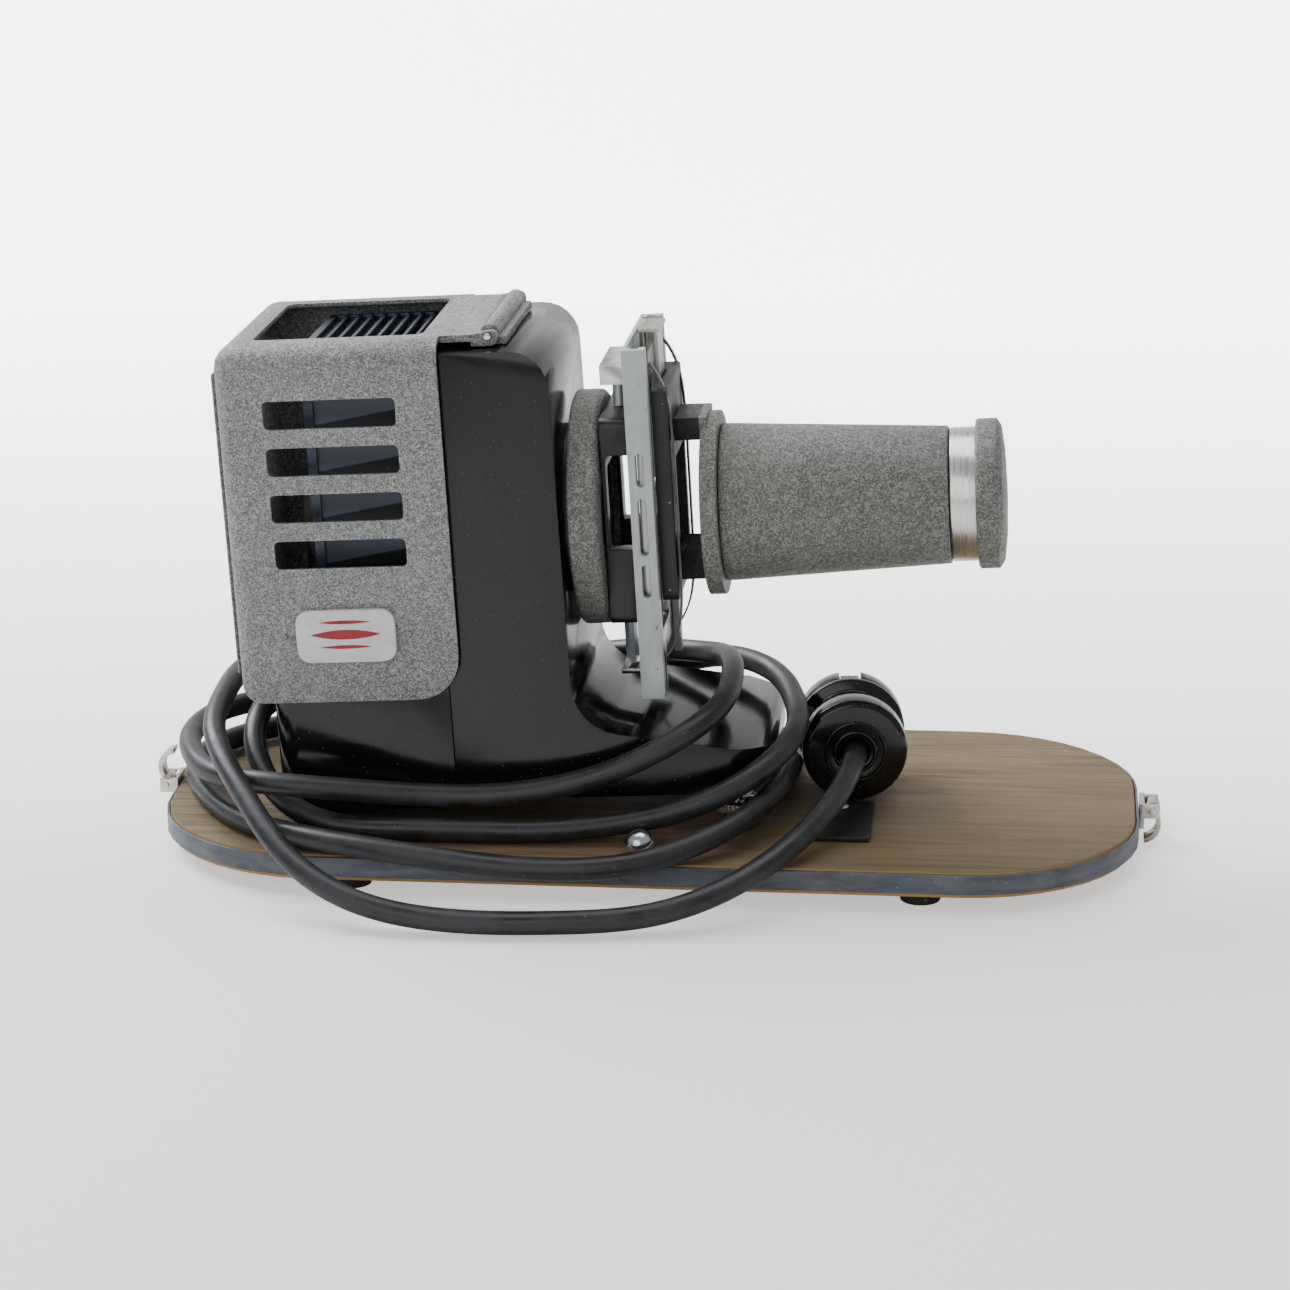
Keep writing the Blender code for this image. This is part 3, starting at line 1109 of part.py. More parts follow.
def projection_lens(unit):
    """Lens carrier, tapered tube, the cell that slides in it, the focusing ring and the cap."""
    axis = (0, 0, AXIS_Z)
    flange_front = FLANGE_X + FLANGE_THICKNESS
    carrier = rod("lens_carrier", (FLANGE_X, 0, AXIS_Z), (flange_front, 0, AXIS_Z), FLANGE_RADIUS,
                  "dark_wrinkle", unit, segments=STEPS)
    arms = (
        ("upper_arm", ARM_UPPER, ARM_UPPER_HEIGHT),
        ("lower_arm", ARM_LOWER, ARM_LOWER_HEIGHT),
    )
    for name, middle, height in arms:
        arm = box(name, (GUIDE_FRONT_X + GAP, -ARM_HALF_WIDTH, AXIS_Z + middle - height / 2),
                  (FLANGE_X + 2 * MM, ARM_HALF_WIDTH, AXIS_Z + middle + height / 2), None, unit)
        join(carrier, arm)
    bore = TUBE_BORE
    cut(carrier, rod("flange_bore", (FLANGE_X - 9 * MM, 0, AXIS_Z), (flange_front + 9 * MM, 0, AXIS_Z),
                     bore - 3 * MM, None, unit, segments=STEPS))
    rear = flange_front + GAP
    turned(
        "lens_tube",
        [(TUBE_FRONT_X, TUBE_FRONT_RADIUS), (rear + 3 * MM, TUBE_REAR_RADIUS),
         (rear, TUBE_REAR_RADIUS), (rear, bore), (TUBE_FRONT_X, bore)],
        axis, "x", "dark_wrinkle", unit,
    )
    travel = carrier_empty("lens_travel", (CELL_REAR_X, 0, AXIS_Z), unit)
    cell_front = TUBE_FRONT_X
    inner = CELL_RADIUS - 2 * MM
    turned(
        "lens_cell",
        [(cell_front, CELL_RADIUS), (CELL_REAR_X, CELL_RADIUS), (CELL_REAR_X, inner), (cell_front, inner)],
        axis, "x", "aluminium", travel,
    )
    rim = inner - GAP
    for name, along in (("rear", CELL_REAR_X + 3 * MM), ("front", cell_front - 13 * MM)):
        turned(
            f"lens_glass_{name}",
            [(along + 7 * MM, 0), (along + 6.2 * MM, rim * 0.6), (along + 4.4 * MM, rim),
                (along + 1.6 * MM, rim),
             (along + 0.4 * MM, rim * 0.6), (along, 0)],
            axis, "x", "glass", travel, 24,
        )
    turn = carrier_empty("focus_turn", (cell_front, 0, AXIS_Z), travel)
    ring_rear = cell_front + GAP
    turned(
        "focus_ring",
        [(FOCUS_RING_FRONT_X, FOCUS_RING_RADIUS - 0.6 * MM), (FOCUS_RING_FRONT_X - 0.6 * MM,
            FOCUS_RING_RADIUS),
         (ring_rear + 0.4 * MM, FOCUS_RING_RADIUS), (ring_rear, FOCUS_RING_RADIUS - 0.4 * MM),
         (ring_rear, inner), (FOCUS_RING_FRONT_X, inner)],
        axis, "x", "aluminium", turn,
    )
    cap = carrier_empty("cap_travel", (CAP_REAR_X, 0, AXIS_Z), turn)
    inside = FOCUS_RING_RADIUS + GAP
    turned(
        "lens_cap",
        [(CAP_FRONT_X, 0), (CAP_FRONT_X - 0.5 * MM, CAP_RADIUS * 0.6), (CAP_FRONT_X - 1.4 * MM,
            CAP_RADIUS * 0.9),
         (CAP_FRONT_X - 3 * MM, CAP_RADIUS), (CAP_REAR_X + 0.8 * MM, CAP_RADIUS),
         (CAP_REAR_X, CAP_RADIUS - 0.8 * MM), (CAP_REAR_X, inside), (FOCUS_RING_FRONT_X + GAP, inside),
         (FOCUS_RING_FRONT_X + GAP, 0)],
        axis, "x", "black_gloss", cap,
    )


def mains_inlet(tilt):
    """The elbow that the cord comes out of at the back, and its tapered strain relief."""
    high = REAR_X - GAP
    elbow = box(
        "inlet_elbow", (CORD_EXIT_X - INLET_HEIGHT / 2, RELIEF_LENGTH + CORD_EXIT_Y,
            INLET_Z - INLET_HEIGHT / 2),
        (high, RELIEF_LENGTH + CORD_EXIT_Y + INLET_DEPTH, INLET_Z + INLET_HEIGHT / 2), "black_paint", tilt,
        1.5 * MM, 2,
    )
    neck = rod("inlet_neck", (high - 3 * MM, INLET_Y, INLET_Z), (REAR_X + WALL + 3 * MM, INLET_Y, INLET_Z),
               INLET_NECK, None, tilt)
    join(elbow, neck)
    rod(
        "strain_relief", (CORD_EXIT_X, CORD_EXIT_Y + RELIEF_LENGTH - GAP, INLET_Z),
        (CORD_EXIT_X, CORD_EXIT_Y, INLET_Z), CORD_RADIUS + 1.8 * MM, "rubber", tilt, CORD_RADIUS + 0.3 * MM,
    )


def mains_cord():
    """The coiled cord, and the plug that lies on the board with its pins pointing away."""
    route = [(x * MM, y * MM, z * MM) for x, y, z in CORD_ROUTE]
    wire("mains_cord", cubic_through(route, CORD_SPACING), CORD_RADIUS, "rubber")
    plug = carrier_empty("plug_place", PLUG_FACE, None)
    plug["origin"] = (0, 0, 0)
    plug.rotation_euler = (0, 0, PLUG_YAW)
    shell = [
        (PLUG_SHELL_LENGTH, PLUG_INSERT_RADIUS), (PLUG_WAIST_END + 1.5 * MM, PLUG_INSERT_RADIUS),
        (PLUG_WAIST_END, PLUG_WAIST_RADIUS), (PLUG_GRIP_LENGTH + 1 * MM, PLUG_WAIST_RADIUS),
        (PLUG_GRIP_LENGTH, PLUG_GRIP_RADIUS), (1.4 * MM, PLUG_GRIP_RADIUS), (0, PLUG_GRIP_RADIUS - 1.4 * MM),
        (0, PLUG_ENTRY_RADIUS), (PLUG_GRIP_LENGTH, PLUG_ENTRY_RADIUS), (PLUG_GRIP_LENGTH,
            PLUG_CAVITY_RADIUS),
        (PLUG_SHELL_LENGTH, PLUG_CAVITY_RADIUS),
    ]
    turned("plug_shell", shell, (0, 0, 0), "y", "bakelite", plug)
    start = PLUG_SHELL_LENGTH + GAP
    face = start + PLUG_INSERT_LENGTH
    insert = rod("plug_insert", (0, start, 0), (0, face, 0), PLUG_INSERT_RADIUS, "bakelite", plug,
        segments=STEPS)
    clip_height = PLUG_INSERT_RADIUS - 2.6 * MM
    for side, name in ((1, "upper"), (-1, "lower")):
        z_low, z_high = sorted((side * clip_height, side * 60 * MM))
        cut(insert, box("insert_flat", (-3.6 * MM, start - 9 * MM, z_low), (3.6 * MM, face + 9 * MM, z_high),
                        None, plug))
        z_low, z_high = sorted((side * (clip_height - 1 * MM), side * (clip_height + 1 * MM)))
        join(insert, box(f"earth_clip_{name}", (-3 * MM, start + 1 * MM, z_low), (3 * MM, face, z_high),
            None, plug))
    for side, name in ((-1, "rear"), (1, "front")):
        x = side * PIN_SPREAD
        hole_end = face + 9 * MM
        cut(insert, rod("pin_hole", (x, start + 2 * MM, 0), (x, hole_end, 0), PIN_RADIUS + 0.2 * MM, None,
            plug))
        rod(f"plug_pin_{name}", (x, start + 2.3 * MM, 0), (x, face + PIN_LENGTH, 0), PIN_RADIUS, "nickel",
            plug)


case_board()
case_latch(-1, "rear", 1)
case_latch(1, "front", -1)
TILT = carrier_empty("projector_tilt", (REAR_FEET_X, 0, BOARD_TOP), None)
TILT["origin"] = (0, 0, 0)
TILT.rotation_euler = (0, -NOSE_UP, 0)
front_casting(TILT)
rear_base(TILT)
levelling_screw(TILT, -1, "right")
levelling_screw(TILT, 1, "left")
condenser(TILT)
lamp_house(TILT)
lamp_cover(TILT)
hinge_knuckle(TILT)
UNIT = carrier_empty("front_unit_turn", (RING_X, 0, AXIS_Z), TILT)
turning_ring(UNIT)
slide_gate(UNIT)
slide_changer(UNIT)
projection_lens(UNIT)
mains_inlet(TILT)
mains_cord()
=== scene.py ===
import bpy
import numpy as np
from mathutils import Matrix


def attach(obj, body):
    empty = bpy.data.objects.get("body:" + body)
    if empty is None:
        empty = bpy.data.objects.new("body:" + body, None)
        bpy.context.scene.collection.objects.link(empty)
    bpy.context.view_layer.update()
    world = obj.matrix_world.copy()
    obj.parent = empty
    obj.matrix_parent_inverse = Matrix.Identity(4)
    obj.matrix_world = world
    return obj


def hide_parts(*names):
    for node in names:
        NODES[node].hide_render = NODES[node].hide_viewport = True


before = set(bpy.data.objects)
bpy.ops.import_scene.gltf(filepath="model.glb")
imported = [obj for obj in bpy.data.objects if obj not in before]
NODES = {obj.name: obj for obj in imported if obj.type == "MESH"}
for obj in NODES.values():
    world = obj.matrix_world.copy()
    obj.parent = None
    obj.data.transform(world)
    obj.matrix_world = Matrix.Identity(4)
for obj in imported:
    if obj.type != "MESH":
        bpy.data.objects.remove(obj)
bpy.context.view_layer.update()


# ---------------------------------------------------------------- camera
# The view: a long lens a good metre away, a little above the projector and
# slightly to its right, with the projector filling two thirds of the width.
camera_right = (0.99416, 0.10759, -0.00801)
camera_up = (-0.02256, 0.27991, 0.95976)
camera_back = (0.10550, -0.95398, 0.28071)
camera_data = bpy.data.cameras.new("view")
camera_data.sensor_width = 36
camera_data.lens = 103.26
camera_data.clip_end = 20
camera = bpy.data.objects.new("view", camera_data)
bpy.context.scene.collection.objects.link(camera)
camera.matrix_world = Matrix((
    (camera_right[0], camera_up[0], camera_back[0], 0.126073),
    (camera_right[1], camera_up[1], camera_back[1], -1.163824),
    (camera_right[2], camera_up[2], camera_back[2], 0.405723),
    (0, 0, 0, 1)))
bpy.context.scene.camera = camera


# ---------------------------------------------------------------- mains cord
# A rubber-sheathed three-core cord 7.6 mm thick and about two metres long.
# It leaves the elbow at the back, goes round the foot of the projector in
# four loose turns, and ends in the plug that lies on the board.
CORD_ROUTE = np.array([
    (-128, -14.4, 43.5), (-128, -21, 43), (-127.8, -30, 40.2), (-125.4, -39.5, 34.5),
    (-119.5, -48, 27.8), (-109.5, -54.5, 21.4), (-96, -58.3, 18), (-80, -59, 17.4),
    (-58, -58.8, 17.4), (-30, -57.5, 17.5), (-4, -55, 20.2), (17, -53, 25.2),
    (36.5, -46.3, 34), (48, -27.5, 41.5), (47.4, -2, 44.8), (38.5, 25, 47.6),
    (21, 45.5, 46.8), (6, 52.5, 42.5), (-22, 57.5, 34), (-54, 57.5, 27),
    (-86, 57, 25.5), (-116, 51.5, 27), (-141, 36, 29.5), (-153.5, 15, 30.2),
    (-155, -6, 30.2), (-150, -26, 30.2), (-139.5, -45, 30.4), (-120, -58, 31.5),
    (-94, -58, 30), (-68, -54, 27.5), (-40, -53.5, 28.5), (-12, -52.5, 35),
    (8.5, -49, 44), (23.5, -33.5, 51.5), (27, -9, 55.5), (24, 14, 55.5),
    (14, 34, 51.5), (-4, 48, 48), (-24, 57.5, 43.5), (-46, 64.5, 36.5),
    (-75, 66.5, 26), (-105, 62, 18.4), (-132, 49, 17.4), (-150, 29, 17.4),
    (-155.5, 7, 17.4), (-151, -15, 17.4), (-141, -36, 17.4), (-127, -54.5, 17.4),
    (-106, -68.5, 17.5), (-78, -79, 17.3), (-50, -83.5, 15.4), (-24, -84.5, 14.4),
    (2, -81, 15.8), (23, -69.5, 20), (39.5, -49, 25.2), (46, -27, 28.2),
    (46.6, -10, 27), (45.5, 4, 22.8), (45, 17, 18.5), (44.8, 32, 17.5),
    (37.5, 49, 17.4), (22, 60, 17.4), (0, 65, 17.4), (-28, 70, 17.5),
    (-60, 74.5, 19.5), (-90, 75.5, 28), (-115, 62, 37), (-132, 43, 43.5),
    (-140, 19, 47.5), (-141.5, -3, 48), (-141.3, -19, 46.6), (-140, -36, 43.8),
    (-133.5, -54.5, 38.8), (-121, -73.5, 29.5), (-105.5, -91.5, 18.5), (-82, -103.5, 9),
    (-52, -107, 4.8), (-20, -105.5, 4.7), (9, -101, 6.3), (32, -91, 12),
    (48, -75, 18.5), (58, -57, 23.5), (64, -41, 27.8), (66.8, -26, 30.6),
    (67.8, -13, 31.4), (67.2, -6.5, 31.5)]) / 1000
CORD_RADIUS = 0.0038
CORD_SPACING = 0.0035
CORD_SIDES = 20
STRAND_PITCH = 0.075


def cubic_through(points, spacing):
    """Places spacing apart on the natural cubic spline through the points.

    The knots grow by the square root of each distance. The second derivatives m solve
    g0 m0 + 2 (g0 + g1) m1 + g1 m2 = 6 (s1 - s0), for gaps g and slopes s."""
    knots = np.append(0, np.cumsum(np.linalg.norm(np.diff(points, axis=0), axis=1) ** 0.5))
    gaps = np.diff(knots)
    slopes = np.diff(points, axis=0) / gaps[:, None]
    count = len(points)
    system = np.eye(count)
    inner = np.arange(1, count - 1)
    system[inner, inner - 1] = gaps[:-1]
    system[inner, inner] = 2 * (gaps[:-1] + gaps[1:])
    system[inner, inner + 1] = gaps[1:]
    target = np.zeros((count, 3))
    target[1:-1] = 6 * np.diff(slopes, axis=0)
    second = np.linalg.solve(system, target)
    fine = np.linspace(0, knots[-1], 60 * count)
    piece = np.clip(np.searchsorted(knots, fine, side="right") - 1, 0, count - 2)
    gap = gaps[piece][:, None]
    after = (fine - knots[piece])[:, None]
    before = gap - after
    curve = (second[piece] * before**3 + second[piece + 1] * after**3) / (6 * gap)
    curve += (points[piece] / gap - second[piece] * gap / 6) * before
    curve += (points[piece + 1] / gap - second[piece + 1] * gap / 6) * after
    along = np.append(0, np.cumsum(np.linalg.norm(np.diff(curve, axis=0), axis=1)))
    places = np.linspace(0, along[-1], int(round(along[-1] / spacing)) + 1)
    return np.stack([np.interp(places, along, curve[:, k]) for k in range(3)], axis=1)


def grid_faces(rows, columns, around=False, closed=False):
    """The quads of a grid of rows by columns, which may close on itself either way."""
    row = np.arange(rows if closed else rows - 1)
    column = np.arange(columns if around else columns - 1)
    row, column = np.meshgrid(row, column, indexing="ij")
    below = (row + 1) % rows
    beside = (column + 1) % columns
    corners = (row * columns + column, row * columns + beside,
               below * columns + beside, below * columns + column)
    return np.stack([corner.ravel() for corner in corners], axis=1).tolist()


def new_piece(name, points, faces, material, body, replaced=(), smooth=True):
    """A mesh at the origin from its points and faces, with its material, riding on its body."""
    mesh = bpy.data.meshes.new(name)
    mesh.from_pydata(np.asarray(points).reshape(-1, 3).tolist(), [], faces)
    mesh.polygons.foreach_set("use_smooth", np.full(len(mesh.polygons), smooth))
    mesh.materials.append(material)
    mesh.update()
    piece = bpy.data.objects.new(name, mesh)
    bpy.context.scene.collection.objects.link(piece)
    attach(piece, body)
    if replaced:
        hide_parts(*replaced)
    return piece


def new_finish(name, colour, roughness, metallic=0.0):
    """A material with one Principled shader: its colour, roughness and metallic set on its sockets."""
    material = bpy.data.materials.new(name)
    material.use_nodes = True
    shader = material.node_tree.nodes["Principled BSDF"]
    shader.inputs["Base Color"].default_value = (*colour, 1)
    shader.inputs["Roughness"].default_value = roughness
    shader.inputs["Metallic"].default_value = metallic
    return material, material.node_tree, shader


def new_node(tree, kind, values=None, **settings):
    """A shader node with its settings, and the values of the sockets that nothing feeds."""
    node = tree.nodes.new(kind)
    for setting, value in settings.items():
        setattr(node, setting, value)
    for socket, value in (values or {}).items():
        node.inputs[socket].default_value = value
    return node


def object_place(tree, stretch=(1, 1, 1)):
    """The place on the object in metres, stretched along each axis."""
    place = new_node(tree, "ShaderNodeTexCoord")
    mapping = new_node(tree, "ShaderNodeMapping", {"Scale": stretch})
    tree.links.new(place.outputs["Object"], mapping.inputs["Vector"])
    return mapping.outputs["Vector"]


def feed_bump(tree, shader, height, distance, strength=1.0):
    """Puts a height through a Bump node into the shader's normal."""
    bump = new_node(tree, "ShaderNodeBump", {"Distance": distance, "Strength": strength})
    tree.links.new(height, bump.inputs["Height"])
    tree.links.new(bump.outputs["Normal"], shader.inputs["Normal"])


def ramp(tree, factor, stops):
    """A colour ramp from (place, colour) stops."""
    node = new_node(tree, "ShaderNodeValToRGB")
    elements = node.color_ramp.elements
    while len(elements) < len(stops):
        elements.new(0.5)
    for element, (place, colour) in zip(elements, stops):
        element.position = place
        element.color = (*colour, 1)
    tree.links.new(factor, node.inputs["Fac"])
    return node.outputs["Color"]


def new_group(name, inputs, outputs):
    """An empty shader node group: a Vector input, named float inputs (a dict of defaults) and float outputs."""
    group = bpy.data.node_groups.new(name, "ShaderNodeTree")
    group.interface.new_socket(name="Vector", in_out="INPUT", socket_type="NodeSocketVector")
    for label, value in inputs.items():
        socket = group.interface.new_socket(name=label, in_out="INPUT", socket_type="NodeSocketFloat")
        socket.default_value = value
    for label in outputs:
        group.interface.new_socket(name=label, in_out="OUTPUT", socket_type="NodeSocketFloat")
    return group, group.nodes.new("NodeGroupInput"), group.nodes.new("NodeGroupOutput")


def use_group(tree, group, place, **values):
    """The group placed in a material, fed with the place and its own values."""
    node = new_node(tree, "ShaderNodeGroup", node_tree=group)
    tree.links.new(place, node.inputs["Vector"])
    for label, value in values.items():
        node.inputs[label].default_value = value
    return node.outputs


def math_node(tree, operation, first, second, clamp=False):
    """first operation second, each a socket or a number."""
    node = new_node(tree, "ShaderNodeMath", operation=operation, use_clamp=clamp)
    for socket, value in zip(node.inputs, (first, second)):
        if isinstance(value, (int, float)):
            socket.default_value = value
        else:
            tree.links.new(value, socket)
    return node.outputs["Value"]


def mixed(tree, factor, first, second):
    """first where factor is 0 and second where it is 1; each colour is a socket or a triple."""
    node = new_node(tree, "ShaderNodeMix", data_type="RGBA")
    tree.links.new(factor, node.inputs["Factor"])
    for label, value in (("A", first), ("B", second)):
        socket = [s for s in node.inputs if s.name == label and s.type == "RGBA"][0]
        if isinstance(value, tuple):
            socket.default_value = (*value, 1)
        else:
            tree.links.new(value, socket)
    return [s for s in node.outputs if s.type == "RGBA"][0]


# Handling leaves two marks on every dark surface: smudges a few centimetres
# across, and pale grains of dust.
HANDLED, enter, leave = new_group(
    "handling_marks", {"Smudge size": 30, "Dust grains": 420, "Dust share": 0.08}, ("Smudges", "Dust"))
smudge = new_node(HANDLED, "ShaderNodeTexNoise", {"Detail": 5, "Roughness": 0.65, "Distortion": 0.4})
HANDLED.links.new(enter.outputs["Vector"], smudge.inputs["Vector"])
HANDLED.links.new(enter.outputs["Smudge size"], smudge.inputs["Scale"])
HANDLED.links.new(smudge.outputs["Fac"], leave.inputs["Smudges"])
grain = new_node(HANDLED, "ShaderNodeTexVoronoi", {"Randomness": 1.0})
HANDLED.links.new(enter.outputs["Vector"], grain.inputs["Vector"])
HANDLED.links.new(enter.outputs["Dust grains"], grain.inputs["Scale"])
small = math_node(HANDLED, "LESS_THAN", grain.outputs["Distance"], 0.16)
chosen = new_node(HANDLED, "ShaderNodeSeparateColor")
HANDLED.links.new(grain.outputs["Color"], chosen.inputs["Color"])
few = math_node(HANDLED, "LESS_THAN", chosen.outputs["Red"], 0.5)
HANDLED.links.new(enter.outputs["Dust share"], few.node.inputs[1])
HANDLED.links.new(math_node(HANDLED, "MULTIPLY", small, few), leave.inputs["Dust"])

cord_rubber, tree, shader = new_finish("cord_sheath", (0.016, 0.016, 0.019), 0.42)
marks = use_group(tree, HANDLED, object_place(tree),
                  **{"Smudge size": 70, "Dust grains": 600, "Dust share": 0.05})
worn = ramp(tree, marks["Smudges"], ((0.35, (0.011, 0.011, 0.013)), (0.62, (0.030, 0.031, 0.035))))
tree.links.new(mixed(tree, marks["Dust"], worn, (0.10, 0.10, 0.10)), shader.inputs["Base Color"])
tree.links.new(ramp(tree, marks["Smudges"], ((0.3, (0.30,) * 3), (0.7, (0.55,) * 3))),
               shader.inputs["Roughness"])
feed_bump(tree, shader, marks["Smudges"], 0.0003, 0.5)
shader.inputs["Specular IOR Level"].default_value = 0.55

line = cubic_through(CORD_ROUTE, CORD_SPACING)
heading = np.gradient(line, axis=0)
heading /= np.linalg.norm(heading, axis=1)[:, None]
across = np.cross(heading, (0, 0, 1))
across /= np.linalg.norm(across, axis=1)[:, None]
upward = np.cross(across, heading)
around = np.linspace(0, 2 * np.pi, CORD_SIDES, endpoint=False)[None, :]
travelled = (np.arange(len(line)) * CORD_SPACING)[:, None]
# radius = R (1 - a + a cos(3 angle - 2 pi s / pitch)): three twisted cores show through the sheath
swell = CORD_RADIUS * (0.985 + 0.015 * np.cos(3 * around - 2 * np.pi * travelled / STRAND_PITCH))
ring = swell[:, :, None] * (np.cos(around)[:, :, None] * across[:, None]
                            + np.sin(around)[:, :, None] * upward[:, None])
cord_points = line[:, None] + ring
sides = grid_faces(len(line), CORD_SIDES, around=True)
ends = [list(range(CORD_SIDES))[::-1], list(range((len(line) - 1) * CORD_SIDES, len(line) * CORD_SIDES))]
sides = [face[::-1] for face in sides]
mains = new_piece("mains_cord_sheath", cord_points, sides + [end[::-1] for end in ends], cord_rubber, "stand",
                  ("mains_cord",))


# ---------------------------------------------------------------- the case board
# Birch plywood, three plies, clear varnished and worn grey-brown on top.
# Four black rubber feet are screwed under it, and a band runs round its edge.
def dress(name, material, bevel=0.0, angle=32, segments=3):
    """Gives a CAD node its material, joins its loose triangles and softens its edges."""
    piece = NODES[name]
    piece.data.materials.clear()
    piece.data.materials.append(material)
    piece.data.polygons.foreach_set("use_smooth", np.ones(len(piece.data.polygons), bool))
    weld = piece.modifiers.new("join", "WELD")
    weld.merge_threshold = 0.000005
    if bevel:
        edge = piece.modifiers.new("edge", "BEVEL")
        edge.width = bevel
        edge.segments = segments
        edge.limit_method = "ANGLE"
        edge.angle_limit = np.radians(angle)
        edge.use_clamp_overlap = True
        edge.harden_normals = True
    else:
        split = piece.modifiers.new("creases", "EDGE_SPLIT")
        split.split_angle = np.radians(angle)
    return piece


BOARD_TOP = 0.0132
plywood, tree, shader = new_finish("varnished_plywood", (0.25, 0.185, 0.105), 0.5)
shader.inputs["Specular IOR Level"].default_value = 0.2
streaks = new_node(tree, "ShaderNodeTexNoise",
                   {"Scale": 22, "Detail": 8, "Roughness": 0.68, "Distortion": 0.35})
tree.links.new(object_place(tree, (0.8, 13, 1)), streaks.inputs["Vector"])
fibres = new_node(tree, "ShaderNodeTexNoise",
                  {"Scale": 110, "Detail": 5, "Roughness": 0.75, "Distortion": 0.15})
tree.links.new(object_place(tree, (0.5, 14, 1)), fibres.inputs["Vector"])
patches = new_node(tree, "ShaderNodeTexNoise", {"Scale": 9, "Detail": 4, "Roughness": 0.55})
tree.links.new(object_place(tree, (1, 2.2, 1)), patches.inputs["Vector"])
grain_colour = ramp(tree, streaks.outputs["Fac"], (
    (0.30, (0.085, 0.058, 0.028)), (0.45, (0.185, 0.132, 0.070)),
    (0.58, (0.245, 0.180, 0.102)), (0.76, (0.31, 0.235, 0.145))))
fibre_mask = ramp(tree, fibres.outputs["Fac"], ((0.36, (0, 0, 0)), (0.64, (1, 1, 1))))
darker = mixed(tree, fibre_mask, (0.095, 0.066, 0.034), grain_colour)
half = new_node(tree, "ShaderNodeMix", {"Factor": 0.62}, data_type="RGBA")
tree.links.new(darker, half.inputs[6])
tree.links.new(grain_colour, half.inputs[7])
patch_mask = ramp(tree, patches.outputs["Fac"], ((0.35, (0, 0, 0)), (0.7, (0.75, 0.75, 0.75))))
top_colour = mixed(tree, patch_mask, half.outputs[2], (0.225, 0.17, 0.105))
height = new_node(tree, "ShaderNodeSeparateXYZ")
tree.links.new(object_place(tree), height.inputs["Vector"])
edge_of_board = math_node(tree, "LESS_THAN", height.outputs["Z"], BOARD_TOP - 0.00035)
tree.links.new(mixed(tree, edge_of_board, top_colour, (0.46, 0.27, 0.105)), shader.inputs["Base Color"])
tree.links.new(ramp(tree, streaks.outputs["Fac"], ((0.3, (0.62,) * 3), (0.7, (0.5,) * 3))),
               shader.inputs["Roughness"])
feed_bump(tree, shader, fibres.outputs["Fac"], 0.0004, 0.35)
dress("base_board", plywood, 0.0006)

band_finish, tree, shader = new_finish("edge_band_grey", (0.10, 0.112, 0.132), 0.38)
marks = use_group(tree, HANDLED, object_place(tree, (1, 1, 4)),
                  **{"Smudge size": 45, "Dust grains": 500, "Dust share": 0.05})
band_colour = ramp(tree, marks["Smudges"], ((0.36, (0.062, 0.070, 0.085)), (0.56, (0.112, 0.125, 0.146)),
                                            (0.72, (0.17, 0.18, 0.20))))
tree.links.new(mixed(tree, marks["Dust"], band_colour, (0.4, 0.4, 0.4)), shader.inputs["Base Color"])
feed_bump(tree, shader, marks["Smudges"], 0.0004, 0.4)
dress("edge_band", band_finish, 0.0003)

foot_rubber, tree, shader = new_finish("foot_rubber", (0.02, 0.02, 0.022), 0.62)
marks = use_group(tree, HANDLED, object_place(tree), **{"Smudge size": 120, "Dust share": 0.12})
tree.links.new(mixed(tree, marks["Dust"], (0.02, 0.02, 0.022), (0.15, 0.15, 0.15)),
               shader.inputs["Base Color"])
feed_bump(tree, shader, marks["Smudges"], 0.0003, 0.5)
for name in ("board_foot_rear_right", "board_foot_rear_left", "board_foot_front_right", "board_foot_front_left",
             "right_level_pad", "left_level_pad"):
    dress(name, foot_rubber, 0.0007)


# ---------------------------------------------------------------- bright small parts
# The ball stud, the latches at the ends of the board, the hinge pin, the
# changer's catches, the levelling wheels and the plug's pins are plated.
def plated(name, colour, roughness):
    """Plated metal: a faint cloudy tarnish in its colour and its gloss."""
    material, tree, shader = new_finish(name, colour, roughness, 1.0)
    marks = use_group(tree, HANDLED, object_place(tree),
                      **{"Smudge size": 160, "Dust grains": 900, "Dust share": 0.04})
    dull = tuple(0.6 * c for c in colour)
    tree.links.new(ramp(tree, marks["Smudges"], ((0.34, dull), (0.6, colour))), shader.inputs["Base Color"])
    low, high = (roughness * 0.7,) * 3, (roughness * 1.6,) * 3
    tree.links.new(ramp(tree, marks["Smudges"], ((0.35, high), (0.7, low))), shader.inputs["Roughness"])
    return material


chrome = plated("chrome_plate", (0.82, 0.82, 0.82), 0.14)
nickel = plated("nickel_plate", (0.78, 0.75, 0.69), 0.22)
for name in ("ball_stud", "hinge_pin", "upper_catch", "lower_catch", "right_level_wheel", "left_level_wheel"):
    dress(name, chrome, 0.0002)
for name in ("bracket_screw", "rear_latch_plate", "front_latch_plate", "rear_latch_hook", "front_latch_hook",
             "plug_pin_rear", "plug_pin_front"):
    dress(name, nickel, 0.0002)

